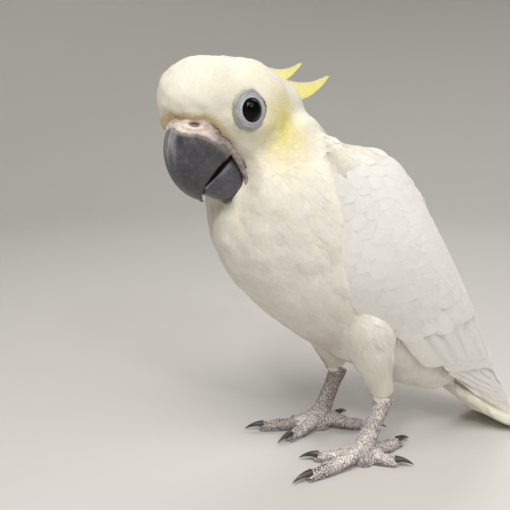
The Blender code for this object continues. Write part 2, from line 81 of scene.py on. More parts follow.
def makeStudio():
    print("camera and lamps")
    data = bpy.data.cameras.new("camera")
    data.lens, data.sensor_width, data.clip_start = lens, 36, 0.01
    bpy.context.scene.camera = aimed(data, **cameraSetup)
    for name, lamp in studio["lamps"].items():
        data = bpy.data.lights.new(name, "AREA")
        data.shape, data.size, data.energy, data.color = "DISK", lamp["size"], lamp["power"], lamp["colour"]
        aimed(data, studio["aim"], lamp["azimuth"], lamp["elevation"], lamp["distance"])
    world = bpy.data.worlds.new("studioWorld")
    world.use_nodes = True
    background = world.node_tree.nodes["Background"]
    background.inputs["Color"].default_value = (*studio["worldColour"], 1)
    background.inputs["Strength"].default_value = studio["worldLight"]
    bpy.context.scene.world = world
    bpy.context.scene.view_settings.view_transform = "Standard"


def turned(profile, steps):
    # a profile of points turned round Z
    bm = bmesh.new()
    verts = [bm.verts.new(p) for p in profile]
    edges = [bm.edges.new(pair) for pair in zip(verts, verts[1:])]
    bmesh.ops.spin(
        bm, geom=verts + edges, cent=(0, 0, 0), axis=(0, 0, 1), angle=fullTurn, steps=steps, use_merge=True
    )
    bmesh.ops.remove_doubles(bm, verts=bm.verts, dist=weld)
    bmesh.ops.recalc_face_normals(bm, faces=bm.faces)
    return bm


def meshOf(bm):
    mesh = bpy.data.meshes.new("made")
    bm.to_mesh(mesh)
    bm.free()
    mesh.shade_smooth()
    return mesh


def makeFloor():
    # a flat disc whose rim curves up into a wall all round
    print("floor")
    curve, flat = bowl["curve"], bowl["radius"] - bowl["curve"]
    profile = [(part * flat, 0, 0) for part in (0, 0.25, 0.6, 1)]
    for a in np.radians(np.linspace(0, 90, 13)[1:]):
        profile.append((flat + curve * math.sin(a), 0, curve * (1 - math.cos(a))))
    profile.append((bowl["radius"], 0, bowl["height"]))
    bm = turned(profile, 96)
    bmesh.ops.reverse_faces(bm, faces=bm.faces)
    floor = bpy.data.objects.new("floor", meshOf(bm))
    bpy.context.scene.collection.objects.link(floor)
    floor.data.materials.append(newMaterial("studioFloor", bowl["colour"], bowl["roughness"])["material"])


def newMaterial(name, colour, roughness, **sockets):
    material = bpy.data.materials.new(name)
    material.use_nodes = True
    nodes, links = material.node_tree.nodes, material.node_tree.links
    shader = nodes["Principled BSDF"]
    sockets = {"Base Color": (*colour, 1), "Roughness": roughness, **sockets}
    for socket, value in sockets.items():
        shader.inputs[socket].default_value = value
    return dict(material=material, nodes=nodes, links=links, shader=shader)


def soaked(weight, radius, scale):
    # light that sinks a little way into skin and feathers
    return {"Subsurface Weight": weight, "Subsurface Radius": radius, "Subsurface Scale": scale}


def feed(kit, node, out, socket):
    kit["links"].new(node.outputs[out], kit["shader"].inputs[socket])


def addNode(kit, kind, links=(), **values):
    # one node with its values set and its inputs linked as (input, node, output)
    node = kit["nodes"].new(kind)
    for name, value in values.items():
        setattr(node, name, value)
    for into, source, out in links:
        kit["links"].new(source.outputs[out], node.inputs[into])
    return node


def markNode(kit, name):
    return addNode(kit, "ShaderNodeAttribute", attribute_name=name)


def objectCoords(kit, scale, stretch=(1, 1, 1)):
    coords = addNode(kit, "ShaderNodeTexCoord")
    mapping = addNode(kit, "ShaderNodeMapping", [("Vector", coords, "Object")])
    mapping.inputs["Scale"].default_value = [scale * s for s in stretch]
    return mapping


def noiseNode(kit, coords, detail=4, roughness=0.55):
    noise = addNode(kit, "ShaderNodeTexNoise", [("Vector", coords, 0)])
    for socket, value in (("Scale", 1), ("Detail", detail), ("Roughness", roughness)):
        noise.inputs[socket].default_value = value
    return noise


def grainNode(kit, scale, detail, roughness=0.55, stretch=(1, 1, 1)):
    return noiseNode(kit, objectCoords(kit, scale, stretch), detail, roughness)


def rampNode(kit, source, out, stops):
    # stops are (place, colour), where a colour may be one grey value
    ramp = addNode(kit, "ShaderNodeValToRGB", [("Fac", source, out)])
    elements = ramp.color_ramp.elements
    while len(elements) < len(stops):
        elements.new(0.5)
    for element, (position, colour) in zip(elements, stops):
        element.position = position
        element.color = (*colour, 1) if isinstance(colour, (tuple, list)) else (colour, colour, colour, 1)
    return ramp


def setSocket(kit, socket, value):
    # a value, a colour or a (node, output) pair
    if isinstance(value, tuple) and hasattr(value[0], "outputs"):
        kit["links"].new(value[0].outputs[value[1]], socket)
    elif value is not None:
        socket.default_value = (*value, 1) if isinstance(value, tuple) else value


def mixColours(kit, factor, first, second, blend="MIX"):
    mix = addNode(kit, "ShaderNodeMix", data_type="RGBA", blend_type=blend)
    for socket, value in ((0, factor), (6, first), (7, second)):
        setSocket(kit, mix.inputs[socket], value)
    return mix


def mathNode(kit, operation, *values):
    node = addNode(kit, "ShaderNodeMath", operation=operation)
    for socket, value in zip(node.inputs, values):
        setSocket(kit, socket, value)
    return node


def bumpNode(kit, height, strength, distance, under=None):
    bump = addNode(kit, "ShaderNodeBump", [("Height", height, 0)])
    bump.inputs["Strength"].default_value = strength
    bump.inputs["Distance"].default_value = distance
    if under:
        kit["links"].new(under.outputs[0], bump.inputs["Normal"])
    return bump


markings = ("yellow", "amber", "blushAndShade", "tone")
plumage = dict(
    white=(0.90, 0.885, 0.85), cream=(0.89, 0.84, 0.66), yellow=(0.90, 0.84, 0.20), creamAt=0.35,
    # pink is the belly's blush: partly a pink tint of the skin through the feathers, partly painted shade
    amber=(0.70, 0.50, 0.18), pink=(0.62, 0.44, 0.36), roughness=0.72, shine=0.25, sheen=0.12,
    mottle=0.08, mottleScale=160, silk=0.14, silkScale=260, silkStretch=(13, 1.2, 1), barbSlant=0.16,
)


def plumageMaterial(name, barbs=0.0, barbDepth=0.35):
    # white to cream to yellow by the piece's own attributes, with silky streaks; barbs adds slanting lines
    soft = {"Specular IOR Level": plumage["shine"], "Sheen Weight": plumage["sheen"], "Sheen Roughness": 0.5}
    glow = soaked(0.22, (1.0, 0.85, 0.6), 0.0018)
    kit = newMaterial(name, plumage["white"], plumage["roughness"], **soft, **glow)
    yellow, amber, blushShadeMark, tone = (markNode(kit, key) for key in markings)
    stops = ((0, plumage["white"]), (plumage["creamAt"], plumage["cream"]), (1, plumage["yellow"]))
    base = rampNode(kit, yellow, "Fac", stops)
    mottled = grainNode(kit, plumage["mottleScale"], 4)
    shade = mathNode(kit, "MULTIPLY_ADD", (mottled, 0), plumage["mottle"], 1 - plumage["mottle"] * 0.6)
    vane = addNode(kit, "ShaderNodeUVMap", uv_map="vane")
    stretched = addNode(kit, "ShaderNodeMapping", [("Vector", vane, 0)])
    stretched.inputs["Scale"].default_value = plumage["silkStretch"]
    fine = objectCoords(kit, plumage["silkScale"])
    silk = noiseNode(kit, addNode(kit, "ShaderNodeVectorMath", [(0, stretched, 0), (1, fine, 0)]), 2)
    streaked = mathNode(kit, "MULTIPLY_ADD", (silk, 0), plumage["silk"], 1 - plumage["silk"] / 2)
    dulled = mathNode(kit, "MULTIPLY", (shade, 0), (tone, "Fac"))
    streaky = mathNode(kit, "MULTIPLY", (dulled, 0), (streaked, 0))
    toned = mixColours(kit, 1.0, (base, 0), (streaky, 0), "MULTIPLY")
    # the blush mixes in pink, partly a real tint and partly painted shade; the tone also carries painted
    # shade on the belly
    blushShaded = mixColours(kit, (blushShadeMark, "Fac"), (toned, 2), plumage["pink"])
    browned = mixColours(kit, (amber, "Fac"), (blushShaded, 2), plumage["amber"])
    feed(kit, browned, 2, "Base Color")
    bump = bumpNode(kit, silk, 0.30, 0.00015)
    if barbs:
        split = addNode(kit, "ShaderNodeSeparateXYZ", [("Vector", vane, 0)])
        across = mathNode(kit, "ABSOLUTE", (mathNode(kit, "SUBTRACT", (split, 0), 0.5), 0))
        along = mathNode(kit, "MULTIPLY_ADD", (across, 0), -plumage["barbSlant"], (split, 1))
        lines = mathNode(kit, "SINE", (mathNode(kit, "MULTIPLY", (along, 0), barbs), 0))
        bump = bumpNode(kit, lines, barbDepth, 0.00008, bump)
    feed(kit, bump, 0, "Normal")
    return kit["material"]


# places are in millimetres: birdPlace in the bird's own measures, inHead forward, left and up from the head
headFrame = dict(at=(4, -55, 164), turn=24)
headTurn = np.array(Matrix.Rotation(math.radians(headFrame["turn"]), 3, "Z"))


def birdPlace(x, y, z):
    return Vector((x * mm, y * mm + slide, z * mm))


headAt = np.array(birdPlace(*headFrame["at"]))


def inHead(forward, left, up):
    return Vector(headAt + headTurn @ (np.array((left, -forward, up)) * mm))


def toHead(points):
    local = (points - headAt) @ headTurn / mm
    return np.stack((-local[:, 1], local[:, 0], local[:, 2]), 1)


def fromHead(points):
    local = np.stack((points[:, 1], -points[:, 0], points[:, 2]), 1) * mm
    return local @ headTurn.T + headAt


def foldedHead(points):
    # head measures with the right side folded over on the left
    local = toHead(points)
    local[:, 1] = np.abs(local[:, 1])
    return local


def toBird(points):
    return (points - (0, slide, 0)) / mm


def through(knots, t):
    # a smooth value at t through a few (place, value) knots; t may be an array
    places = np.array([k[0] for k in knots], float)
    values = np.array([k[1] for k in knots], float)
    order, last = np.arange(len(places)), len(places) - 1
    low, high = np.maximum(order - 1, 0), np.minimum(order + 1, last)
    slopes = (values[high] - values[low]) / (places[high] - places[low])
    t = np.clip(t, places[0], places[-1])
    i = np.clip(np.searchsorted(places, t, side="right") - 1, 0, last - 1)
    wide = places[i + 1] - places[i]
    u = (t - places[i]) / wide
    rise = (2 * u**3 - 3 * u**2 + 1) * values[i] + (3 * u**2 - 2 * u**3) * values[i + 1]
    return rise + wide * ((u**3 - 2 * u**2 + u) * slopes[i] + (u**3 - u**2) * slopes[i + 1])


def throughPoints(points, t):
    # the same through evenly spaced points or values, with t from 0 to 1
    places = np.linspace(0, 1, len(points))
    columns = np.array(points, float).reshape(len(points), -1).T
    return np.stack([through(list(zip(places, column)), t) for column in columns], -1)


def pairThrough(knots, t):
    return [through([(place, pair[axis]) for place, pair in knots], t) for axis in (0, 1)]


def smoothStep(low, high, value):
    u = np.clip((value - low) / (high - low), 0, 1)
    return u * u * (3 - 2 * u)


def softNoise(points, size, seed):
    # a smooth wandering value in about -1 to 1, with bumps about size across
    dice = np.random.default_rng(seed)
    total = np.zeros(len(points))
    for _ in range(7):
        wave = dice.normal(size=3)
        wave *= dice.uniform(0.7, 1.5) / np.linalg.norm(wave)
        total += np.sin(points @ wave * (fullTurn / size) + dice.uniform(0, 6.28))
    return total / 3.2


def unevenly(count, share=1.0):
    return share * rng.normal(size=count).clip(-2, 2)


def unit(vectors):
    return vectors / np.maximum(np.linalg.norm(vectors, axis=-1, keepdims=True), 1e-12)


def joinInto(whole, part):
    mesh = bpy.data.meshes.new("part")
    part.to_mesh(mesh)
    part.free()
    whole.from_mesh(mesh)
    bpy.data.meshes.remove(mesh)


def solidOf(names, swell, fillers=()):
    # the named solids in one bmesh, pushed out a little so that neighbours overlap
    whole = bmesh.new()
    for filler in fillers:
        joinInto(whole, filler)
    for name in names:
        part = bmesh.new()
        part.from_mesh(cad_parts[name].data)
        bmesh.ops.remove_doubles(part, verts=part.verts, dist=0.02 * mm)
        part.normal_update()
        for v in part.verts:
            v.co += v.normal * swell
        joinInto(whole, part)
    return whole


def remeshed(bm, voxel, smoothing):
    mesh = bpy.data.meshes.new("remeshed")
    bm.to_mesh(mesh)
    bm.free()
    thing = bpy.data.objects.new("remeshed", mesh)
    bpy.context.scene.collection.objects.link(thing)
    remesh = thing.modifiers.new("remesh", "REMESH")
    remesh.mode, remesh.voxel_size = "VOXEL", voxel
    smooth = thing.modifiers.new("smooth", "SMOOTH")
    smooth.factor, smooth.iterations = 0.5, smoothing
    bpy.context.view_layer.update()
    made = bpy.data.meshes.new_from_object(thing.evaluated_get(bpy.context.evaluated_depsgraph_get()))
    bpy.data.objects.remove(thing)
    return made


def wrapGrid(rings):
    # a closed skin round rings of points (rings x points x 3), welded at its seam
    count, size = len(rings), len(rings[0])
    bm = bmesh.new()
    bmesh.ops.create_grid(bm, x_segments=size, y_segments=count - 1, size=1)
    bm.verts.ensure_lookup_table()
    for k in range(count):
        for p in range(size + 1):
            bm.verts[k * (size + 1) + p].co = rings[k][p % size]
    bmesh.ops.remove_doubles(bm, verts=bm.verts, dist=weld)
    bmesh.ops.holes_fill(bm, edges=[e for e in bm.edges if e.is_boundary], sides=0)
    bmesh.ops.recalc_face_normals(bm, faces=bm.faces)
    return bm


def readPoints(mesh):
    points, normals = np.empty((2, len(mesh.vertices) * 3))
    mesh.vertices.foreach_get("co", points)
    mesh.vertices.foreach_get("normal", normals)
    return points.reshape(-1, 3), normals.reshape(-1, 3)


def setPoints(mesh, points):
    mesh.vertices.foreach_set("co", points.ravel())
    mesh.update()


class Surface:
    # a mesh that points can be dropped on, with smooth normals
    def __init__(self, mesh):
        mesh.calc_loop_triangles()
        self.points, self.normals = readPoints(mesh)
        self.corners = np.empty(len(mesh.loop_triangles) * 3, int)
        mesh.loop_triangles.foreach_get("vertices", self.corners)
        self.corners = self.corners.reshape(-1, 3)
        self.tree = BVHTree.FromPolygons(self.points.tolist(), self.corners.tolist())

    def gaps(self, points):
        return np.array([self.tree.find_nearest(p)[3] for p in points.tolist()])

    def touches(self, points, gap):
        return np.array([self.tree.find_nearest(p, gap)[0] is not None for p in points.tolist()])

    def holds(self, points, near, deep):
        # whether points near the surface lie more than deep inside it
        held = []
        for p in points.tolist():
            spot, normal, _, _ = self.tree.find_nearest(p, near)
            held.append(spot is not None and (Vector(p) - spot).dot(normal) < -deep)
        return np.array(held)

    def drop(self, points):
        found = [self.tree.find_nearest(p) for p in points.tolist()]
        spots = np.array([f[0] for f in found])
        corners = self.corners[[f[2] for f in found]]
        a, b, c = (self.points[corners[:, k]] for k in range(3))
        cross = np.cross(b - a, c - a)
        size = np.maximum((cross**2).sum(1), 1e-30)
        second = (np.cross(spots - a, c - a) * cross).sum(1) / size
        third = (np.cross(b - a, spots - a) * cross).sum(1) / size
        weights = np.stack((1 - second - third, second, third), 1)[:, :, None]
        return spots, unit((self.normals[corners] * weights).sum(1))

    def scatter(self, spacingAt, keepAt, dense=5.0):
        # points about spacingAt apart, spread evenly and with no grid in them
        a, b, c = (self.points[self.corners[:, k]] for k in range(3))
        middle = (a + b + c) / 3
        area = np.linalg.norm(np.cross(b - a, c - a), axis=1) / 2 * keepAt(middle)
        want = area / spacingAt(middle) ** 2
        total = int(want.sum() * dense)
        pick = rng.choice(len(area), total, p=want / want.sum())
        u, v = rng.random((2, total, 1))
        u, v = np.where(u + v > 1, 1 - u, u), np.where(u + v > 1, 1 - v, v)
        spots = a[pick] + (b[pick] - a[pick]) * u + (c[pick] - a[pick]) * v
        tree = KDTree(total)
        for k, spot in enumerate(spots.tolist()):
            tree.insert(spot, k)
        tree.balance()
        free, kept = np.ones(total, bool), []
        for k, (spot, gap) in enumerate(zip(spots.tolist(), spacingAt(spots).tolist())):
            if free[k]:
                kept.append(k)
                for _, other, _ in tree.find_range(spot, gap):
                    free[other] = False
        return spots[kept]


def surfaceOf(names, swell, voxel, smoothing, shaped=None, fillers=()):
    mesh = remeshed(solidOf(names, swell, fillers), voxel, smoothing)
    if shaped:
        setPoints(mesh, shaped(*readPoints(mesh)))
    made = Surface(mesh)
    bpy.data.meshes.remove(mesh)
    return made


# the markings are the same for the skin and the feathers
earPatch = dict(at=(-2, 17.5, -4), size=(7.5, 9, 11), strength=0.92, amber=0.36)
throatSpot = dict(at=(-3, 14, -30), size=(3, 5, 4.5), strength=0.42)
# the belly's blush is partly a pink tint and partly painted shade; its paintedShade share darkens the tone
# there as painted shade
blushAndShade = dict(belly=(-14, 63), size=(24, 15), strength=0.55, paintedShade=0.35, offThigh=0.95)  # belly: its y and z
paleYellow = dict(all=0.17, head=0.10, headUneven=0.05, underTail=0.10)
skull, skullRadius, billRoot = (8, 0, 2), 27, (31, 0, -8)


def headGap(points, place):
    return np.linalg.norm(toHead(points) - place, axis=1)


def patchAt(points, patch):
    off = (foldedHead(points) - patch["at"]) / patch["size"]
    return np.exp(-(off**2).sum(1))


def yellowAt(points):
    total = np.full(len(points), paleYellow["all"])
    streak = 0.72 + 0.28 * softNoise(points * (1, 1, 3), 5 * mm, 5)
    for patch in (earPatch, throatSpot):
        total += patch["strength"] * patchAt(points, patch) * streak
    headward = 1 - smoothStep(24, 48, headGap(points, (6, 0, 0)))
    total += headward * (paleYellow["head"] + paleYellow["headUneven"] * softNoise(points, 14 * mm, 6))
    _, y, z = toBird(points).T
    total += paleYellow["underTail"] * smoothStep(55, 20, z) * smoothStep(10, 50, y)
    return np.clip(total, 0, 1)


def amberAt(points):
    # golden brown along the top of the cere, and a warm tint in the ear patch
    onTop = smoothStep(-12, -5, toHead(points)[:, 2])
    golden = 0.7 * smoothStep(2.2 * mm, 0.4 * mm, cereForm.gaps(points)) * onTop
    uneven = 0.8 + 0.4 * softNoise(points, 4 * mm, 15)
    return np.maximum(golden, earPatch["amber"] * patchAt(points, earPatch) * uneven)


def onThigh(points, down, out):
    # 1 on the thighs; down and out are the ranges over which it grows, going down and going outwards
    x, y, z = toBird(points).T
    return smoothStep(*down, z) * smoothStep(*out, np.abs(x)) * smoothStep(30, 20, np.abs(y - 3))


def blushAndShadeAt(points):
    # the blush with its painted shade on the belly, fading off the thighs
    off = (toBird(points)[:, 1:] - blushAndShade["belly"]) / blushAndShade["size"]
    fade = 1 - blushAndShade["offThigh"] * onThigh(points, (86, 76), (10, 15))
    return blushAndShade["strength"] * np.exp(-(off**2).sum(1)) * fade


# the guide surfaces: the outside of the plumage as the solids give it, softened
fleshNodes = ["head", "neck", "trunk", "thigh_left", "thigh_right"]

moulds = (  # soft shifts of the flesh in head measures, on both sides where no side is given
    dict(at=(11, 12, -42), reach=9, shift=(-1.6, -2.6, 0)),  # the throat narrows under the bill
    dict(at=(22, 0, -43), reach=8, shift=(-3.0, 0, 0.5)),
    dict(at=(35.5, 0, -0.5), reach=5, shift=(-1.5, 0, 1.4)),  # the cere shows over the horn
    dict(at=(29, 8.5, -3), reach=4, shift=(-0.6, -0.8, 0.8)),
    dict(at=(34, 9, 0), reach=6, shift=(1.4, -0.8, -4.8), side=-1),  # fluffed before the far eye
    dict(at=(9.5, 13, -26), reach=6, shift=(-2.2, -3.0, 0)),  # the cheek falls back round the lower bill
    dict(at=(9, 10.5, -34), reach=6, shift=(-2.2, -2.5, 0)),
    dict(at=(17.5, 11.5, -9.5), reach=4.5, shift=(-1.8, -0.9, 1.2)),  # the horn's rear edge stays bare
    dict(at=(13, 2, -36.5), reach=5, shift=(-3.5, 0, 0.3)),
    dict(at=(13, 15.8, -9.2), reach=2.8, shift=(0, -0.8, 0)),  # a crease from the gape to the ear
    dict(at=(8, 17, -9.4), reach=2.8, shift=(0, -0.9, 0)),
    dict(at=(3, 17.6, -9.4), reach=2.8, shift=(0, -0.8, 0)),
    dict(at=(9, 16.5, -15), reach=4.5, shift=(0.2, 0.9, 0)),  # the cheek
    dict(at=(-6, 16, -7), reach=6, shift=(-0.8, 1.1, 0)),  # the tuft over the ear
    dict(at=(14, 17, 11), reach=4.5, shift=(0, 0.8, 0)),  # the brow
)
backFill = dict(
    reach=(-0.03, 0.80), rise=((-0.03, -0.5), (0.06, 0), (0.16, 2.0), (0.60, 1.2), (0.80, -1.5)),
    depth=((-0.03, 12), (0.4, 10), (0.6, 7), (0.80, 3)), meets=0.93,
    wingRoot=dict(first=-0.02, last=0.14, size=((-0.02, 0.8), (0.01, 1), (0.05, 1), (0.14, 0.92))),
    shoulder=dict(at=(21, -18, 142), radii=(10.5, 9, 10)),
)


def wingSolid(side, first, last, size=((0, 1), (1, 1))):
    # the body of a folded wing between two places along it, closed behind its outside
    rings = []
    for s in np.linspace(first, last, 2 + round(70 * (last - first))):
        over = wingSpots(side, np.full(25, s), np.linspace(0, 1, 25))
        back = over[-1] + (over[0] - over[-1]) * np.linspace(0.1, 0.9, 11)[:, None]
        ring = np.concatenate([over, back])
        rings.append(ring.mean(0) + (ring - ring.mean(0)) * float(through(size, s)))
    return wrapGrid(rings)


def softMasses():
    # the mantle that closes the back between the folded wings, and the flesh behind each wing's front edge
    outward = unit(np.array((0, wing["wrist"][2] - wing["tip"][2], wing["tip"][1] - wing["wrist"][1])))
    rings = []
    for s in np.linspace(*backFill["reach"], 30):
        left, right = (
            wingSpots(side, np.array([s]), np.array([backFill["meets"]]))[0] for side in sides.values()
        )
        middle, half = (left + right) / 2, (left - right) / 2
        rise, depth = (float(through(backFill[key], s)) * mm for key in ("rise", "depth"))
        ring = [middle + half * q + outward * rise * (1 - q * q) for q in np.linspace(-1, 1, 15)]
        ring += [middle + half * q - outward * depth for q in np.linspace(0.8, -0.8, 9)]
        rings.append(ring)
    masses = [wrapGrid(rings)]
    x, y, z = backFill["shoulder"]["at"]
    for side in sides.values():
        masses.append(wingSolid(side, **backFill["wingRoot"]))
        shoulder = bmesh.new()
        bmesh.ops.create_uvsphere(shoulder, u_segments=32, v_segments=20, radius=1)
        for v in shoulder.verts:
            off = [c * r * mm for c, r in zip(v.co, backFill["shoulder"]["radii"])]
            v.co = birdPlace(side * x, y, z) + Vector(off)
        masses.append(shoulder)
    return masses


def moulded(points):
    local = toHead(points)
    side = np.where(local[:, 1] < 0, -1.0, 1.0)
    local[:, 1] *= side
    for mould in moulds:
        pull = np.exp(-((local - mould["at"]) ** 2).sum(1) / mould["reach"] ** 2)
        pull = pull * (side * mould.get("side", 0) >= 0)
        local = local + pull[:, None] * mould["shift"]
    local[:, 1] *= side
    return fromHead(local)


def fluffed(points, normals):
    # the lie of real plumage: small tufts on the head, wide soft swells on the body
    onHead = headness(points)
    tufts = 0.28 * softNoise(points, 9 * mm, 21) + 0.13 * softNoise(points, 4.5 * mm, 22)
    swells = 0.50 * softNoise(points * (1, 1, 0.6), 19 * mm, 23) + 0.16 * softNoise(points, 8 * mm, 24)
    rise = tufts * onHead + swells * (1 - onHead)
    before = smoothStep(0.35, 0.05, normals[:, 1]) * smoothStep(146 * mm, 138 * mm, points[:, 2])
    # the wing stands off the breast
    rise = rise - 1.1 * np.exp(-((wingForm.gaps(points) / (2 * mm)) ** 2)) * before
    return moulded(points + normals * (rise * mm)[:, None])


def addPiece(name, mesh, material, nodes=()):
    mesh.name = name
    mesh.materials.clear()
    mesh.materials.append(material)
    piece = bpy.data.objects.new(name, mesh)
    bpy.context.scene.collection.objects.link(piece)
    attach(piece, "root")
    if nodes:
        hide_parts(*nodes)
    return piece


def setAttribute(mesh, name, values):
    made = mesh.attributes.new(name, "FLOAT", "POINT")
    made.data.foreach_set("value", np.ascontiguousarray(values, dtype=np.float32).ravel())


def setMap(mesh, name, values):
    layer = mesh.uv_layers.new(name=name)
    layer.data.foreach_set("uv", np.ascontiguousarray(values, dtype=np.float32).ravel())


skinSetup = dict(
    voxel=1.15 * mm, smoothing=5, swell=0.45 * mm, headDepth=0.9 * mm, bodyDepth=1.7 * mm, under=0.2 * mm,
    wingReach=0.48,
)
toeKinds = ("inner_front", "outer_front", "inner_back", "outer_back")
toeNames = [f"toe_{kind}_{side}" for kind in toeKinds for side in sides]
shankNames = ["shank_left", "shank_right"]


def coatDepth(points):
    # how far the feathers' roots lie under the outside of the plumage
    _, y, z = toBird(points).T
    depth = np.full(len(points), skinSetup["bodyDepth"])
    onHead = 1 - smoothStep(22, 38, headGap(points, skull))
    depth += (skinSetup["headDepth"] - skinSetup["bodyDepth"]) * onHead
    bareLeg = smoothStep(36, 33, z) * smoothStep(26, 20, np.abs(y - 2))
    return depth * (1 - bareLeg) * (0.25 + 0.75 * smoothStep(0, 4 * mm, cereForm.gaps(points)))


def makeSkin():
    nodes = fleshNodes + shankNames + toeNames
    wings = [wingSolid(side, 0, skinSetup["wingReach"]) for side in sides.values()]
    bm = solidOf(nodes, skinSetup["swell"], softMasses() + wings)
    mesh = remeshed(bm, skinSetup["voxel"], skinSetup["smoothing"])
    points, normals = readPoints(mesh)
    points = moulded(points)
    points = points - normals * (coatDepth(points) + skinSetup["under"])[:, None]
    points[:, 2] = np.maximum(points[:, 2], 0)
    mesh.vertices.foreach_set("co", points.ravel())
    # the blush and the darker tone under it are partly painted shade on the belly
    blushShade = blushAndShadeAt(points)
    for key, values in zip(markings, (yellowAt(points), amberAt(points), blushShade, 1 - blushAndShade["paintedShade"] * blushShade)):
        setAttribute(mesh, key, values)
    mesh.shade_smooth()
    print("skin", len(mesh.polygons), "faces")
    return addPiece("skin", mesh, plumageMaterial("skinFinish"), nodes)


# feathers are thin closed vanes in joined meshes; each kind has its outline, and parts of its own length
contourKinds = {
    "headFeathers": dict(
        along=(0, 0.4, 0.76, 1.0), width=(0.5, 1.0, 0.8, 0.12), wide=0.46, sink=0.085,
        proud=0.018, thick=0.010,
    ),
    "bodyFeathers": dict(
        along=(0, 0.34, 0.64, 0.86, 1.0), width=(0.45, 0.92, 1.0, 0.62, 0.10), wide=0.36, sink=0.040,
        proud=0.006, thick=0.005,
    ),
}
mostTriangles = 190000
bakePatch = 0.003
floorGap = 0.05 * mm


def tubeMesh(name, rings):
    # closed tubes, one for each row of rings (tubes x stations x points x 3), and all their face corners
    count, stations, size, _ = rings.shape
    base = np.arange(count)[:, None, None] * stations * size
    k, p = np.arange(stations - 1)[:, None] * size, np.arange(size)
    n = (p + 1) % size
    quads = np.stack([base + k + p, base + k + n, base + k + size + n, base + k + size + p], -1)
    caps = [base[:, 0] + p[::-1], base[:, 0] + (stations - 1) * size + p]
    corners = np.concatenate([quads.ravel(), caps[0].ravel(), caps[1].ravel()])
    starts = np.concatenate([np.arange(0, quads.size, 4), quads.size + np.arange(2 * count) * size])
    mesh = bpy.data.meshes.new(name)
    mesh.vertices.add(count * stations * size)
    mesh.vertices.foreach_set("co", rings.astype(np.float32).ravel())
    mesh.loops.add(len(corners))
    mesh.loops.foreach_set("vertex_index", corners.astype(np.int32))
    mesh.polygons.add(len(starts))
    mesh.polygons.foreach_set("loop_start", starts.astype(np.int32))
    mesh.polygons.foreach_set("use_smooth", np.ones(len(starts), bool))
    mesh.update(calc_edges=True)
    return mesh, corners


def vaneTriangles(stations, size):
    return 2 * (stations - 1) * size + 2 * (size - 2)


def vaneStack(name, rings, topNormals, across, charts, attributes, material):
    # rings: feathers x stations x ring points; the first half of a ring is the upper face
    count, stations, size, _ = rings.shape
    mesh, corners = tubeMesh(name, rings)
    # soft normals: the upper face follows the plumage, and the under face looks the other way
    isUnder = np.repeat(np.tile(np.arange(size) >= size // 2, count * (stations - 1)), 4)
    isUnder = np.concatenate([isUnder, np.zeros(2 * count * size, bool)])
    facing = np.where(isUnder, -1.0, 1.0)[:, None]
    mesh.normals_split_custom_set((topNormals.reshape(-1, 3)[corners] * facing).astype(np.float32))
    # maps: "vane" runs along each feather, OFBake gives each a small patch at its root's place
    alongPart = np.linspace(0, 1, stations)[None, :, None]
    vaneMap = np.stack([np.broadcast_to(part, rings.shape[:3]) for part in (across, alongPart)], -1)
    vaneMap = vaneMap.reshape(-1, 2)[corners]
    inPatch = vaneMap * (1, 0.5) + isUnder[:, None] * (0, 0.5)
    setMap(mesh, "OFBake", np.repeat(charts, stations * size, axis=0)[corners] + inPatch * bakePatch)
    setMap(mesh, "vane", vaneMap)
    for key in markings:
        setAttribute(mesh, key, np.broadcast_to(attributes.get(key, 0), rings.shape[:3]))
    print(name, count, "feathers,", count * vaneTriangles(stations, size), "triangles")
    return addPiece(name, mesh, material)


# the body's middle line (y, z) from the tail to the neck
bodyLine = np.array(
    ((57, 31), (44, 44), (23, 67), (3, 88), (-22, 114.5), (-35.7, 135), (-40.2, 150.4), (-45, 164))
)
lineSteps = 59


def onBodyLine(t):
    places = np.arange(len(bodyLine))
    return np.stack([np.interp(t * places[-1], places, bodyLine[:, k]) for k in (0, 1)], 1)


def bodyParam(points):
    # how far along the middle line from the tail (0 to 1), and the line's direction there
    _, y, z = toBird(points).T
    dense = onBodyLine(np.linspace(0, 1, lineSteps + 1))
    near = ((dense[None, :, 0] - y[:, None]) ** 2 + (dense[None, :, 1] - z[:, None]) ** 2).argmin(1)
    down = unit(dense[np.maximum(near - 3, 0)] - dense[np.minimum(near + 3, lineSteps)])
    return near / lineSteps, np.stack([np.zeros(len(points)), down[:, 0], down[:, 1]], 1)


def rootPlaces(points):
    # where a root lies on the coat's chart: the body below, the head above it
    x, y, z = toBird(points).T
    local = toHead(points)
    onHead = headGap(points, skull) < skullRadius
    t, _ = bodyParam(points)
    centre = onBodyLine(t)
    slope = math.radians(50)
    rise = (y - centre[:, 0]) * math.sin(slope) + (z - centre[:, 1]) * math.cos(slope)
    turn = np.where(onHead, np.arctan2(local[:, 1], local[:, 2]), np.arctan2(x, rise)) / fullTurn + 0.5
    v = np.where(onHead, 0.62 + 0.36 * np.clip((local[:, 0] + 30) / 75, 0, 1), 0.02 + 0.56 * t)
    return np.stack([turn * 0.98 + 0.01, v], 1)


def headness(points):
    local = toHead(points)
    spine = np.clip(local[:, 0], 0, 22)
    off = local - np.stack([spine, np.zeros(len(points)), spine * 0.2], 1)
    return 1 - smoothStep(21, 36, np.linalg.norm(off, axis=1))


eyePlace = dict(at=(12.0, 18.6, 3.0), facing=(0.10, 1.0, 0.03), radius=4.8, sunk=0.4, ringRadius=7.7)
coat = dict(
    headLength=(2.6, 6.2), thighLength=8.5, thighWay=(0, 0.22, -0.975), jitter=0.13, spacing=0.125,
    deepest=0.33 * mm, toneJitter=0.022, toneDrift=0.02, yellowJitter=0.03, camber=24 * mm, lean=0.08,
    turnJitter=0.06, turnDrift=0.10, underWing=dict(near=9 * mm, deep=0.2 * mm), tailEnd=92, bareLeg=(34, 40),
    billGap=0.4 * mm, cereGap=0.12 * mm,
    bodyLength=((0, 7), (0.12, 11), (0.25, 13), (0.5, 12), (0.75, 10.5), (0.9, 8.5), (1, 7)),
    wrist=dict(at=(19, -18, 151), size=(15, 11, 11), shorter=0.68),
)


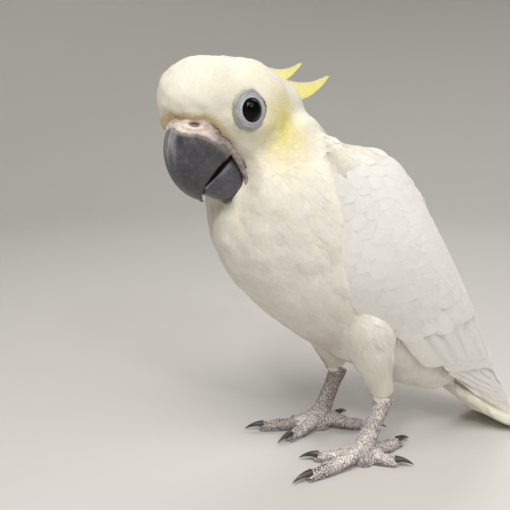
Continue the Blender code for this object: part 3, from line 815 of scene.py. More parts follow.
def flowAt(points):
    # the lie of the plumage: back from the bill over the head, then down the body and the thighs
    fromBill = unit((toHead(points) - billRoot) * (1, 0.9, 1))
    headWay = unit(fromHead(fromBill) - headAt)
    _, bodyWay = bodyParam(points)
    thigh = onThigh(points, (70, 56), (8, 13))[:, None]
    bodyWay = unit(bodyWay * (1 - thigh) + thigh * coat["thighWay"])
    onHead = headness(points)[:, None]
    return unit(headWay * onHead + bodyWay * (1 - onHead))


def eyeDistance(points):
    local = foldedHead(points)
    off = local - eyePlace["at"]
    facing = unit(np.array(eyePlace["facing"]))
    return np.linalg.norm(off - (off @ facing)[:, None] * facing, axis=1) + 50 * (local[:, 1] < 8)


def lengthAt(points):
    short, long = coat["headLength"]
    head = short + (long - short) * smoothStep(14, 58, headGap(points, billRoot))
    head *= 0.55 + 0.45 * smoothStep(8, 15, eyeDistance(points))
    t, _ = bodyParam(points)
    body = through(coat["bodyLength"], t)
    body = body + (coat["thighLength"] - body) * onThigh(points, (66, 52), (6, 13))
    folded = toBird(points)
    folded[:, 0] = np.abs(folded[:, 0])
    off = (folded - coat["wrist"]["at"]) / coat["wrist"]["size"]
    body *= 1 - coat["wrist"]["shorter"] * np.exp(-(off**2).sum(1))
    onHead = headness(points)
    return (head * onHead + body * (1 - onHead)) * mm


def uncovered(points):
    # 1 where feathers are wanted, 0 on the bill, the cere, the eye rings, the bare legs and the tail's end
    _, y, z = toBird(points).T
    legTop, legBack = coat["bareLeg"]
    bare = (y > coat["tailEnd"]) | ((z < legTop) & (y < legBack))
    bare |= eyeDistance(points) < eyePlace["ringRadius"] * 0.93
    for form, gap in ((billForm, coat["billGap"]), (cereForm, coat["cereGap"])):
        bare |= form.touches(points, gap)
    return 1.0 - bare


def contourFeathers(spots, kind):
    # lays a vane at each spot on the plumage, stepping along the lie of the coat
    along, widths = np.array(kind["along"]), np.array(kind["width"])
    count, stations = len(spots), len(along)
    length = lengthAt(spots) * (1 + unevenly(count, coat["jitter"]))
    wide = length * kind["wide"] / 2 * rng.uniform(0.85, 1.15, count)
    centres, normals, ways = [], [], []
    spot, normal = plumageForm.drop(spots)
    way = flowAt(spots)
    turn = rng.normal(size=count) * coat["turnJitter"] + coat["turnDrift"] * softNoise(spots, 18 * mm, 3)
    way = way + np.cross(normal, way) * turn[:, None]
    for k in range(stations):
        way = unit(way - normal * (way * normal).sum(1, keepdims=True))
        centres.append(spot)
        normals.append(normal)
        ways.append(way)
        if k + 1 < stations:
            step = (along[k + 1] - along[k]) * length
            spot, normal = plumageForm.drop(spot + way * step[:, None])
            way = way * 0.6 + flowAt(spot) * 0.4
    centres, normals, ways = (np.stack(a, 1) for a in (centres, normals, ways))
    acrossWay = np.cross(ways, normals)
    fluff = 0.08 * mm * softNoise(spots, 11 * mm, 8) + 0.02 * mm * rng.normal(size=count)
    depth = np.minimum(kind["sink"] * length, coat["deepest"])[:, None] * (1 - along)[None] ** 1.15
    lift = -depth + (kind["proud"] * length)[:, None] * along[None] + fluff[:, None]
    half = wide[:, None] * widths[None]
    droop = half**2 / (2 * coat["camber"])
    thick = kind["thick"] * length[:, None] * (1 - 0.75 * along)[None]
    middle = centres + normals * lift[..., None]
    left = middle - acrossWay * half[..., None] - normals * droop[..., None]
    right = middle + acrossWay * half[..., None] - normals * droop[..., None]
    under = middle - normals * (droop * 0.5 + thick)[..., None]
    rings = np.stack([left, middle + normals * (thick * 0.4)[..., None], right, under], 2)
    rings[..., 2] = np.maximum(rings[..., 2], floorGap)
    lean = acrossWay * coat["lean"]
    top = np.stack([normals - lean, normals, normals + lean, normals], 2)
    top = unit(top + ways[:, :, None] * (0.10 * along**2)[None, :, None, None])
    straight = (normals[:, 0] * normals[:, -1]).sum(-1) > 0.3
    return rings, top, straight


def coatAttributes(spots):
    blushShade = blushAndShadeAt(spots)
    tone = 1 + unevenly(len(spots), coat["toneJitter"]) + coat["toneDrift"] * softNoise(spots, 20 * mm, 9)
    yellow = yellowAt(spots) + unevenly(len(spots), coat["yellowJitter"])
    # painted shade: the tone is darker where the blush lies
    made = dict(zip(markings, (yellow, amberAt(spots), blushShade, tone * (1 - blushAndShade["paintedShade"] * blushShade))))
    return {key: values[:, None, None] for key, values in made.items()}


def makeCoat():
    print("contour feathers")
    material = plumageMaterial("plumageFinish")
    spots = plumageForm.scatter(lambda p: lengthAt(p) * coat["spacing"], uncovered)
    spots = spots[uncovered(spots) > 0]
    tips = spots + flowAt(spots) * lengthAt(spots)[:, None] * 0.6
    rootHidden, tipHidden = (wingForm.holds(points, **coat["underWing"]) for points in (spots, tips))
    spots = spots[~(rootHidden & tipHidden)]
    onHead = headness(spots) > 0.5
    across = np.array((0, 0.5, 1, 0.5))
    for (name, kind), chosen in zip(contourKinds.items(), (onHead, ~onHead)):
        group = spots[chosen]
        rings, top, straight = contourFeathers(group, kind)
        group, rings, top = (values[straight] for values in (group, rings, top))
        parts = math.ceil(len(group) / (mostTriangles // vaneTriangles(*rings.shape[1:3])))
        for part, pick in enumerate(np.array_split(np.argsort(group[:, 2]), parts)):
            label = name if parts == 1 else f"{name}{part + 1}"
            roots = group[pick]
            marks = coatAttributes(roots)
            vaneStack(label, rings[pick], top[pick], across, rootPlaces(roots), marks, material)


# folded wings: long feathers laid on the wing's own curved form
wing = dict(
    wrist=(0, -21, 150), tip=(0, 95, 9), foreTurn=42,
    foreEdge=(
        (0, 6), (0.05, 14), (0.12, 21.5), (0.20, 29.5), (0.28, 32), (0.50, 28), (0.68, 21.5), (0.84, 12),
        (1, 1.5),
    ),
    backEdge=(
        (0, 5), (0.06, 15.5), (0.13, 20.5), (0.22, 20.8), (0.39, 17.8), (0.58, 13.2), (0.79, 7.2), (1, 2.5),
    ),
    backTurn=((0, 52), (0.15, 60), (0.5, 84), (1, 86)),
    reach=((0, 33), (0.12, 40), (0.30, 43), (0.50, 38), (0.68, 27), (0.84, 17), (1, 9)),
)
wingLength = math.dist(wing["wrist"], wing["tip"])


def wingSpots(side, s, u):
    # a point on the wing's outside: s runs from wrist to tip, u from the fore edge to the back edge
    wrist, tip = (np.array(birdPlace(*wing[key])) for key in ("wrist", "tip"))
    along = tip - wrist
    outward = unit(np.array((0, -along[2], along[1])))
    fore, back, reach = (through(wing[key], s) * mm for key in ("foreEdge", "backEdge", "reach"))
    backTurn, foreTurn = np.radians(through(wing["backTurn"], s)), math.radians(wing["foreTurn"])

    def onForm(place):
        angle = -foreTurn + (backTurn + foreTurn) * place
        rise = np.where(angle > 0, back / np.sin(backTurn), fore / math.sin(foreTurn))
        bulge = np.maximum(np.cos(angle), 0) ** 0.75
        sideways = np.stack([side * reach * bulge, 0 * s, 0 * s], -1)
        return wrist + along * s[..., None] + sideways + outward * (np.sin(angle) * rise)[..., None]

    inside = np.clip(u, 0.03, 0.96)
    slope = (onForm(inside + 0.01) - onForm(inside - 0.01)) / 0.02
    return onForm(inside) + slope * (u - inside)[..., None]


# eight points round a blade: five over its upper face, three back along its under face
bladeX = np.array((-1, -0.55, 0, 0.55, 1))
bladeRound = np.concatenate([bladeX, bladeX[3:0:-1]])
bladeAcross = (bladeRound + 1) / 2
bladeUnder = np.arange(8) > 4
bladeLean = np.array((-0.45, -0.2, 0, 0.2, 0.45, 0.2, 0, -0.2))


def bladeRings(spotsAt, rows, outline, camber, thick, mostSide=0.3, flip=1, shaft=0.16, tilt=0.7):
    # vanes whose middle lines run from (s0, u0) to (s1, u1) on a form given by spotsAt
    s0, u0, s1, u1, *lengths = rows.T[:7, :, None]
    half, liftRoot, liftTip = (values * mm for values in lengths)
    along, widths = np.array(outline["along"]), np.array(outline["width"])
    s = s0 + (s1 - s0) * along
    u = u0 + (u1 - u0) * along
    step = 0.004
    slopeU = (spotsAt(s, u + step) - spotsAt(s, u - step)) / (2 * step)
    slopeS = (spotsAt(s + step, u) - spotsAt(s - step, u)) / (2 * step)
    perU = np.maximum(np.linalg.norm(slopeU, axis=-1), 1e-6)
    sideStep = np.minimum(half * widths / perU, mostSide * np.maximum(widths, 0.1))
    offsets = sideStep[..., None] * bladeX * -flip
    grid = spotsAt(np.broadcast_to(s[..., None], offsets.shape), u[..., None] + offsets)
    normal = unit(np.cross(slopeS, slopeU)) * flip
    lift = (liftRoot + (liftTip - liftRoot) * along)[..., None]
    sag = camber * (sideStep * perU)[..., None] * bladeX**2
    ridge = shaft * mm * (bladeX == 0) * (1 - 0.8 * along)[None, :, None]
    top = grid + normal[:, :, None] * (lift - sag + ridge)[..., None]
    deep = thick * mm * (1 - 0.6 * along)[None, :, None]
    under = (grid + normal[:, :, None] * (lift - sag - deep)[..., None])[:, :, 3:0:-1]
    acrossWay = unit(np.cross(unit(slopeS), normal))
    tops = normal[:, :, None] + acrossWay[:, :, None] * bladeLean[None, None, :, None] * tilt
    return np.concatenate([top, under], 2), unit(tops)


bladeOutlines = {
    "covert": dict(
        along=(0, 0.25, 0.5, 0.72, 0.88, 0.96, 1.0), width=(0.4, 0.8, 0.98, 1.0, 0.78, 0.48, 0.12),
    ),
    "quill": dict(
        along=(0, 0.12, 0.3, 0.5, 0.7, 0.82, 0.90, 0.955, 0.985, 1.0),
        width=(0.35, 0.7, 0.95, 1.0, 1.0, 0.96, 0.85, 0.6, 0.35, 0.08),
    ),
}


def wingRows():
    # every feather of one folded wing: root and end on the form, half width, lifts, yellowness
    dice = np.random.default_rng(31)
    small, large = [], []
    rows, perRow, firstRow, rowStep = 13, 9, 0.028, 0.0216
    for row in range(rows):  # lesser coverts, fewer and smaller round the wrist
        s = firstRow + rowStep * row
        size = 0.45 + 0.55 * min(1, s / 0.16)
        count = round(perRow * (0.55 + 0.45 * min(1, s / 0.12)))
        for k in range(count):
            u = 0.94 * (k + 0.5 * (row % 2)) / (count - 0.5)
            long = (14 + 7 * row / rows) * size * dice.uniform(0.92, 1.08)
            wide = 6.0 * size * dice.uniform(0.92, 1.12)
            at = s + dice.normal() * 0.006
            pale = 0.03 + 0.22 * max(0, u - 0.75) / 0.25
            small.append((at, u, at + long / wingLength, u + dice.normal() * 0.012, wide, -0.38, 0.03, pale))
    for row, (s, long, wide) in enumerate(((0.315, 22, 6.2), (0.345, 24, 6.4))):  # median coverts
        for k in range(9):
            u = 0.04 + 0.9 * (k + 0.5 * row) / 8.5
            small.append((s, u, s + long / wingLength, u + 0.01, wide, -0.45, 0.03, 0.03))
    for k in range(11):  # greater coverts
        u = 0.05 + 0.80 * k / 10
        end = 0.535 + 0.05 * k / 10 - 0.03 * (k < 2)
        large.append((0.37, u, end, u + 0.02, 6.2, -1.1, 0.05, 0.05))
    for part in np.linspace(0, 1, 10):  # secondaries, the inner ones longest and on top
        root, end = (0.42, 0.08 + 0.70 * part), (0.645 + 0.20 * part, 0.05 + 0.63 * part)
        large.append((*root, *end, 7.2, -1.6, -0.75 + 0.5 * part, 0.06))
    for part in np.linspace(0, 1, 4):  # tertials, over the back edge
        root, end = (0.36, 0.78 + 0.14 * part), (0.90 - 0.06 * part, 0.70 + 0.14 * part)
        large.append((*root, *end, 7.6, -0.7, 0.15 * part, 0.08))
    for part in np.linspace(0, 1, 11):  # primaries, the outer ones longest and underneath
        root, end = (0.47, 0.62 - 0.55 * part), (0.76 + 0.24 * part**0.85, 0.82 - 0.54 * part)
        large.append((*root, *end, 6.8, -2.4, -0.3 - 0.8 * part * (1 - part), 0.04))
    return np.array(small), np.array(large)


wingKinds = (
    dict(label="wingCoverts", outline="covert", thick=0.05, camber=0.015, shaft=0.02, tilt=0.10, under=0),
    dict(label="wingQuills", outline="quill", thick=0.5, camber=0.06, shaft=0.16, tilt=0.5, under=0.42),
)


def makeWings():
    print("wings")
    paints = plumageMaterial("covertFinish", 420, 0.12), plumageMaterial("quillFinish", 420, 0.22)
    bothRows = wingRows()
    for name, side in sides.items():
        for kind, rows, paint in zip(wingKinds, bothRows, paints):
            rings, top = bladeRings(
                lambda s, u: wingSpots(side, s, u), rows, bladeOutlines[kind["outline"]], kind["camber"],
                kind["thick"], flip=side, shaft=kind["shaft"], tilt=kind["tilt"],
            )
            tone = 1 + unevenly((len(rows), 1, 1), 0.008)
            yellow = rows[:, -1, None, None] + kind["under"] * bladeUnder
            places = np.clip(rows[:, 1::-1], 0, 1)
            chart = places * (0.36, 0.9) + (0.02 + 0.4 * (side < 0), 0.02)
            attributes = dict(yellow=yellow, tone=tone * 0.985)
            label = f"{kind['label']}_{name}"
            piece = vaneStack(label, rings, top, bladeAcross, chart, attributes, paint)
            if kind["label"] == "wingQuills":
                parts = ("coverts", "secondaries", "primaries")
                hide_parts(*[f"wing_{part}_{name}" for part in parts])


tail = dict(
    line=((57, 28), (76, 13.2), (96, 3.6), (119, 1.5), (143, 1.0), (152, 0.8)),
    width=(12, 15.5, 19, 22, 22.5, 18), thick=(9, 6.5, 4.8, 3.6, 2.6, 1.8), perSide=6,
    outline=dict(bladeOutlines["quill"], width=(0.5, 0.7, 0.85, 0.95, 1.0, 1.0, 0.95, 0.8, 0.55, 0.2)),
)


def tailSpots(s, u):
    # s runs from the tail's root to its end, u across it from -1 to 1
    shape = np.column_stack([tail[key] for key in ("line", "width", "thick")])
    y, z, wide, thick = np.moveaxis(throughPoints(shape, s), -1, 0)
    crown = thick / 2 * np.sqrt(np.maximum(1 - (np.abs(u) * 0.97) ** 2.2, 0.02))
    return np.stack([u * wide, y, z + crown], -1) * mm + (0, slide, 0)


def makeTail():
    print("tail")
    rows = []
    for side in sides.values():
        for k in range(tail["perSide"]):  # the middle pair lies on top
            part = k / (tail["perSide"] - 1)
            root = (0.02, side * (0.03 + 0.3 * part))
            end = (1.0 - 0.035 * part**2, side * (0.13 + 0.62 * part))
            rows.append((*root, *end, 7.4, -0.6 - 0.25 * k, -0.1 - 0.2 * k))
    rows = np.array(rows)
    rings, top = bladeRings(tailSpots, rows, tail["outline"], 0.03, 0.35, 0.6, flip=-1)
    rings[..., 2] = np.maximum(rings[..., 2], floorGap)
    innerVane = np.clip(1 - np.linspace(0, 1, rings.shape[1]) * 1.1, 0, 1)[None, :, None]
    outer = (np.arange(len(rows)) % tail["perSide"] > 0)[:, None, None]
    yellow = 0.08 + 0.55 * bladeUnder + 0.30 * innerVane * outer
    tone = 1 + 0.02 * rng.normal(size=(len(rows), 1, 1))
    chart = np.stack([0.05 + 0.9 * (rows[:, 1] + 1) / 2, np.full(len(rows), 0.97)], 1)
    paint = plumageMaterial("tailFinish", 500)
    attributes = dict(yellow=yellow, tone=tone)
    piece = vaneStack("tailFeathers", rings, top, bladeAcross, chart, attributes, paint)
    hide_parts("tail")


crest = {
    "front": dict(root=(11, 0, 23.6), tip=(-18, 0, 19.6), sag=-0.6, width=4.05, yellow=0.25),
    "mid_left": dict(root=(-2, 2.0, 20.0), tip=(-35, 1.0, 24.2), sag=4.5, width=6.3, yellow=0.95),
    "mid_right": dict(root=(-2, -1.6, 19.6), tip=(-32, -0.6, 22.4), sag=4.3, width=5.4, yellow=0.90),
    "long_left": dict(root=(-9, 2.0, 14.5), tip=(-53.5, 1.2, 19.0), sag=5.5, width=8.46, yellow=0.95),
    "long_right": dict(root=(-9, -1.6, 14.2), tip=(-50, -0.6, 16.9), sag=5.3, width=7.2, yellow=0.90),
}
crestStations = 26


def crestRings(feather):
    # an upright blade that sags and turns up at its tip, with a barbed lower edge
    t = np.linspace(0, 1, crestStations)
    root, tip = (np.array(feather[key], float) for key in ("root", "tip"))
    middle = root + (tip - root) * t[:, None]
    middle[:, 2] -= feather["sag"] * np.sin(math.pi * t) * (0.4 + t)
    blade = feather["width"] * np.sin(math.pi * (0.30 + 0.67 * t)) ** 0.7 / 2
    blade[-1] *= 0.35
    barbs = 1 + 0.10 * (np.arange(crestStations) % 2) * (t > 0.35)
    up = -blade[:, None] * bladeRound * np.where(bladeRound > 0, barbs[:, None], 1.0)
    bow = 0.9 * bladeRound**2 * np.sign(root[1] + 1e-6) * (1 - 0.5 * t)[:, None]
    thick = np.array((0, 0.22, 0.35, 0.22, 0, -0.22, -0.35, -0.22))
    x, y, z = middle.T[:, :, None]
    ring = np.stack([np.broadcast_to(x, up.shape), y - bow + thick, z + up], -1)
    return fromHead(ring.reshape(-1, 3)).reshape(ring.shape)


def makeCrest():
    print("crest")
    paint = plumageMaterial("crestFinish", 160)
    across = np.array((0, 0.22, 0.5, 0.78, 1, 0.78, 0.5, 0.22))
    paler = np.array((0.22, 0.1, 0.04, 0, 0, 0, 0.04, 0.1))
    fading = paler + 0.12 * np.linspace(1, 0, crestStations)[None, :, None]
    chart = np.full((1, 2), 0.5)
    for name, feather in crest.items():
        rings = crestRings(feather)[None]
        top = np.broadcast_to(unit(fromHead(np.array([(0, 1.0, 0)])) - headAt), rings.shape)
        attributes = dict(yellow=feather["yellow"] - fading, tone=1)
        label = f"crestFeathers_{name}"
        piece = vaneStack(label, rings, top, across, chart, attributes, paint)
        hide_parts(f"crest_{name}")


bill = dict(
    culmenCentre=(17, -13), culmenRadius=22, culmenFrom=30, culmenTo=-77, around=72, rings=64,
    upperBack=(
        (0, (13, -4)), (0.25, (9.5, -12.5)), (0.5, (17.5, -19.5)), (0.7, (22.5, -25)), (0.85, (25, -29.5)),
        (1, (23.4, -34.4)),
    ),
    upperWide=((0, 8.6), (0.25, 10.4), (0.5, 8.6), (0.7, 6.4), (0.85, 4.2), (1, 1.0)),
    lowerTop=((0, (3.0, -13.2)), (0.3, (11.2, -14.1)), (0.6, (17.5, -20.2)), (1, (23.8, -27.9))),
    lowerFoot=((0, (-1.5, -24.5)), (0.3, (4.2, -32.0)), (0.6, (12.6, -34.5)), (1, (22.6, -31.4))),
    lowerWide=((0, 6.0), (0.3, 9.3), (0.6, 8.6), (1, 4.2)),
    # how far down the horn the cere reaches, by the angle round it from the culmen
    cereEdge=(
        (0, 0.05), (15, 0.08), (28, 0.11), (50, 0.115), (74, 0.12), (88, 0.165), (98, 0.25), (125, 0.40),
        (180, 0.48),
    ),
    cereRoot=-0.16, ridgePower=0.8, wallPower=0.45,
)
billAround = fullTurn * np.arange(bill["around"]) / bill["around"]


def hornRing(front, back, halfWidth):
    # the centre of a ring of the bill and the ways out from it, in head measures, from the culmen round
    along, side = np.cos(billAround), np.sin(billAround)
    power = np.where(along > -1e-6, bill["ridgePower"], bill["wallPower"])
    along, side = (np.copysign(np.abs(part) ** power, part) for part in (along, side))
    middle, reach = ([(a + sign * b) / 2 for a, b in zip(front, back)] for sign in (1, -1))
    centre = np.stack([middle[0], 0 * middle[0], middle[1]], -1)
    return centre, np.stack([reach[0] * along, halfWidth * side, reach[1] * along], -1)


def upperRing(t, growth=1):
    # t runs from the root of the upper bill to its tip
    turn = np.radians(bill["culmenFrom"] + (bill["culmenTo"] - bill["culmenFrom"]) * t)
    front = [c + bill["culmenRadius"] * f(turn) for c, f in zip(bill["culmenCentre"], (np.cos, np.sin))]
    return hornRing(front, pairThrough(bill["upperBack"], t), through(bill["upperWide"], t) * growth)


def lowerRing(t, growth=1):
    foot, top = (pairThrough(bill[key], t) for key in ("lowerFoot", "lowerTop"))
    return hornRing(foot, top, through(bill["lowerWide"], t) * growth)


def closing(rings, steps=4, bulge=0.4):
    # rounds off the last ring with a few shrinking ones
    last, before = rings[-1], rings[-2]
    middle = last.mean(0)
    ahead = unit(middle - before.mean(0)) * np.linalg.norm(last - middle, axis=1).mean() * bulge
    for k in range(1, steps + 1):
        a = math.pi / 2 * k / steps
        rings.append(middle + (last - middle) * max(math.cos(a), 0.02) + ahead * math.sin(a))
    return rings


def markHorn(mesh, name):
    # chalk on the culmen, a pale rim at the cere or along the mouth's edge, and painted shade inside the
    # mouth
    points, _ = readPoints(mesh)
    local = toHead(points)
    off = local[:, (0, 2)] - bill["culmenCentre"]
    onCulmen = smoothStep(0.55, 0.95, np.linalg.norm(off, axis=1) / bill["culmenRadius"])
    ridge = onCulmen * smoothStep(5.5, 1.0, np.abs(local[:, 1]))
    turn = np.degrees(np.arctan2(off[:, 1], off[:, 0]))
    if name == "upper":
        chalk = ridge * smoothStep(-38, 10, turn)
        rim = 0.5 * smoothStep(1.4 * mm, 0.2 * mm, cereForm.gaps(points))
        mouthShade = 0 * rim
    else:
        edge = np.stack(pairThrough(bill["lowerTop"], np.linspace(0, 1, 24)), 1)
        gap = np.linalg.norm(local[:, None, (0, 2)] - edge[None], axis=2)
        inward = through(bill["lowerWide"], gap.argmin(1) / 23) - np.abs(local[:, 1])
        # painted shade inside the mouth, just inward of the lower bill's top edge
        mouthShade = smoothStep(1.5, 0.8, gap.min(1)) * smoothStep(0.5, 0.9, inward)
        rim = smoothStep(1.3, 0.4, gap.min(1)) * smoothStep(0.8, 0.4, inward)
        chalk = 0 * rim
    for key, values in (("chalk", chalk), ("rim", rim), ("mouthShade", mouthShade)):
        setAttribute(mesh, key, values)


def makeBill():
    print("bill")
    for name, ringAt in (("upper", upperRing), ("lower", lowerRing)):
        rings = []
        for t in np.linspace(0, 1, bill["rings"]):
            growth = 1 + 0.004 * math.sin(t * 70) + 0.003 * math.sin(t * 31)
            rings.append(fromHead(np.add(*ringAt(t, growth))))
        mesh = meshOf(wrapGrid(closing(rings)))
        markHorn(mesh, name)
        addPiece(f"bill_{name}_horn", mesh, billMaterial(name), [f"bill_{name}"])


horn = dict(
    stops=((0.30, (0.026, 0.026, 0.033)), (0.52, (0.053, 0.050, 0.063)), (0.75, (0.105, 0.082, 0.096))),
    paler=dict(upper=0.9, lower=1.35), dust=(0.22, 0.21, 0.23), chalk=(0.46, 0.45, 0.47),
    # the last colour is painted shade inside the mouth
    rim=(0.50, 0.45, 0.43), mouthShade=(0.012, 0.009, 0.009),
)


def billMaterial(name):
    sockets = {"Coat Weight": 0.12, "Coat Roughness": 0.35}
    kit = newMaterial(f"hornFinish_{name}", (0.05, 0.047, 0.056), 0.36, **sockets)
    clouds = grainNode(kit, 70, 5, 0.6, (1, 1, 1.6))
    stops = [(place, [c * horn["paler"][name] for c in colour]) for place, colour in horn["stops"]]
    base = rampNode(kit, clouds, 0, stops)
    dust = grainNode(kit, 520, 3, 0.7)
    dusty = mathNode(kit, "MULTIPLY", (rampNode(kit, dust, 0, ((0.50, 0), (0.75, 1))), 0), 0.28)
    painted = mixColours(kit, (dusty, 0), (base, 0), horn["dust"])
    scratches = grainNode(kit, 260, 4, 0.65, (1, 1, 0.22))
    streaks = rampNode(kit, scratches, 0, ((0.40, 0.12), (0.62, 1)))
    for key, share in (("chalk", (streaks, 0)), ("rim", 0.75), ("mouthShade", 1)):
        factor = mathNode(kit, "MULTIPLY", (markNode(kit, key), "Fac"), share)
        painted = mixColours(kit, (factor, 0), (painted, 2), horn[key])
    feed(kit, painted, 2, "Base Color")
    feed(kit, rampNode(kit, dust, 0, ((0.3, 0.30), (0.8, 0.52))), 0, "Roughness")
    feed(kit, bumpNode(kit, scratches, 0.25, 0.00025, bumpNode(kit, clouds, 0.2, 0.0006)), 0, "Normal")
    return kit["material"]


nostril = dict(at=(31.8, 7.6, -2.5), size=(2.5, 1.3), depth=1.4, lip=0.5)  # size: half length, half height
gape = dict(  # a wrinkled fold from the horn's edge round the rear of the lower bill
    line=(
        (20.4, 10.2, -8.8), (16.8, 10.7, -11.4), (13.4, 11, -15.4), (10.3, 11, -19.8), (7.9, 10.8, -24.4),
        (6.7, 10.4, -30.0), (7.0, 9, -34.5), (8.2, 6.5, -36.5), (9.5, 0, -37.3),
    ),
    radius=((0, 0.8), (0.15, 1.5), (0.3, 1.4), (0.45, 1.1), (0.6, 0.9), (0.8, 0.7), (1, 0.6)),
)
cere = dict(
    pink=((0.3, (0.63, 0.50, 0.43)), (0.5, (0.73, 0.62, 0.55)), (0.7, (0.78, 0.73, 0.69))),
    grey=((0.3, (0.17, 0.13, 0.125)), (0.5, (0.30, 0.24, 0.23)), (0.7, (0.43, 0.37, 0.355))),
    hole=(0.34, 0.08, 0.05), voxel=0.40 * mm,
    swell=((0, 1), (0.2, 1), (0.4, 1), (0.6, 1), (0.78, 1), (0.9, 0.85), (0.97, 0.4), (1.0, -0.3)),
)


def cereShell():
    folded = np.degrees(np.minimum(billAround, fullTurn - billAround))
    edge = through(bill["cereEdge"], folded)
    outer = 0.75 - 1.3 * smoothStep(100, 135, folded)
    rings = []
    for part, swell in cere["swell"]:
        centre, offset = upperRing(bill["cereRoot"] + (edge - bill["cereRoot"]) * part)
        grown = 1 + outer * swell / np.maximum(np.linalg.norm(offset, axis=-1), 1)
        rings.append(fromHead(centre + offset * grown[:, None]))
    return wrapGrid(rings)


def gapeFold(side):
    t = np.linspace(0, 1, 60)
    line = throughPoints(gape["line"], t)
    line[:, 1] *= side
    points = [Vector(p) for p in fromHead(line)]
    return wrapGrid(sweep(points, through(gape["radius"], t) * mm))


def makeCereMesh():
    whole = solidOf(["cere"], 0.1 * mm)
    for part in (cereShell(), gapeFold(1), gapeFold(-1)):
        joinInto(whole, part)
    mesh = remeshed(whole, cere["voxel"], 5)
    points, normals = readPoints(mesh)
    off = foldedHead(points) - nostril["at"]
    away = np.linalg.norm(off[:, (0, 2)] / nostril["size"], axis=1) + 9 * (np.abs(off[:, 1]) > 3)
    hole = 1 - smoothStep(0.5, 1.0, away)
    lip = np.exp(-(((away - 1.45) / 0.4) ** 2))
    fold = softNoise(points, 3.0 * mm, 12) * 0.14 + softNoise(points, 1.5 * mm, 14) * 0.07
    rise = -nostril["depth"] * hole + nostril["lip"] * lip + fold
    setPoints(mesh, points + normals * (rise * mm)[:, None])
    setAttribute(mesh, "hole", hole)
    setAttribute(mesh, "grey", smoothStep(28, 20, toHead(points)[:, 0]))
    return mesh


def makeCere():
    print("cere")
    kit = newMaterial("cereFinish", (0.70, 0.58, 0.52), 0.55, **soaked(0.3, (1.0, 0.5, 0.3), 0.0015))
    grains = grainNode(kit, 800, 3, 0.6)
    pink, grey = (rampNode(kit, grains, 0, cere[key]) for key in ("pink", "grey"))
    base = mixColours(kit, (markNode(kit, "grey"), "Fac"), (pink, 0), (grey, 0))
    painted = mixColours(kit, (markNode(kit, "hole"), "Fac"), (base, 2), cere["hole"])
    feed(kit, painted, 2, "Base Color")
    wrinkles = grainNode(kit, 1300, 3, 0.6, (1, 1, 0.5))
    feed(kit, bumpNode(kit, wrinkles, 0.6, 0.00025), 0, "Normal")
    mesh = makeCereMesh()
    mesh.shade_smooth()
    addPiece("cereSkin", mesh, kit["material"], ["cere"])


def eyeMatrix(side):
    forward, left, up = eyePlace["at"]
    ahead, out, rise = eyePlace["facing"]
    facing = (inHead(ahead, side * out, rise) - inHead(0, 0, 0)).normalized()
    across = Vector((0, 0, 1)).cross(facing).normalized()
    turn = Matrix((across, facing.cross(across), facing)).transposed().to_4x4()
    return Matrix.Translation(inHead(forward, side * left, up)) @ turn


pupil = (0.0006, 0.0006, 0.0008)
iris = dict(
    stops=((0.0, pupil), (0.70, pupil), (0.78, (0.004, 0.003, 0.0025)), (1.0, 0.001)),
    behind=-1.5, flatter=0.92,
)
eyeRing = dict(  # (radius, height) round the bare ring, from the lid's edge outwards and back underneath
    folds=(
        (4.60, 0.85), (4.72, 1.20), (5.0, 1.30), (5.22, 1.08), (5.5, 1.18), (5.8, 1.10), (6.0, 0.88),
        (6.25, 0.95), (6.55, 0.84), (6.75, 0.62), (7.0, 0.66), (7.3, 0.42), (7.55, 0.12), (7.9, -0.6),
        (7.4, -1.6), (4.9, -1.6), (4.55, 0.2), (4.60, 0.85),
    ),
    perFold=5, stretch=1.06, mottle=((0.3, (0.48, 0.49, 0.52)), (0.7, 0.95)),
    # tints by the distance out from the lid: the ring's grey-blue colour, with painted shade in the dark
    # bands over the creases between folds
    tintsAndCreaseShade=(
        (0.0, (0.03, 0.028, 0.03)), (0.06, (0.16, 0.165, 0.18)), (0.16, (0.44, 0.47, 0.51)),
        (0.30, (0.50, 0.53, 0.57)), (0.43, (0.31, 0.33, 0.36)), (0.54, (0.45, 0.47, 0.49)),
        (0.70, (0.27, 0.27, 0.28)), (1.0, (0.40, 0.37, 0.34)),
    ),
)


def ballMaterial():
    kit = newMaterial("eyeFinish", (0.012, 0.009, 0.008), 0.03, **{"IOR": 1.30, "Specular IOR Level": 0.25})
    chart = addNode(kit, "ShaderNodeUVMap", uv_map="iris")
    outward = addNode(kit, "ShaderNodeSeparateXYZ", [("Vector", chart, 0)])
    wobble = mathNode(kit, "MULTIPLY_ADD", (grainNode(kit, 1500, 2), 0), 0.08, (outward, 0))
    feed(kit, rampNode(kit, wobble, 0, iris["stops"]), 0, "Base Color")
    return kit["material"]


def ringMaterial():
    kit = newMaterial("eyeRingFinish", (0.66, 0.70, 0.75), 0.5, **soaked(0.25, (1.0, 0.8, 0.8), 0.0012))
    wrinkles = grainNode(kit, 1100, 3, 0.6)
    # the ring's colour with painted shade in its creases
    tint = rampNode(kit, markNode(kit, "outward"), "Fac", eyeRing["tintsAndCreaseShade"])
    mottle = rampNode(kit, wrinkles, 0, eyeRing["mottle"])
    feed(kit, mixColours(kit, 0.35, (tint, 0), (mottle, 0), "MULTIPLY"), 2, "Base Color")
    feed(kit, bumpNode(kit, wrinkles, 0.6, 0.00026), 0, "Normal")
    return kit["material"]


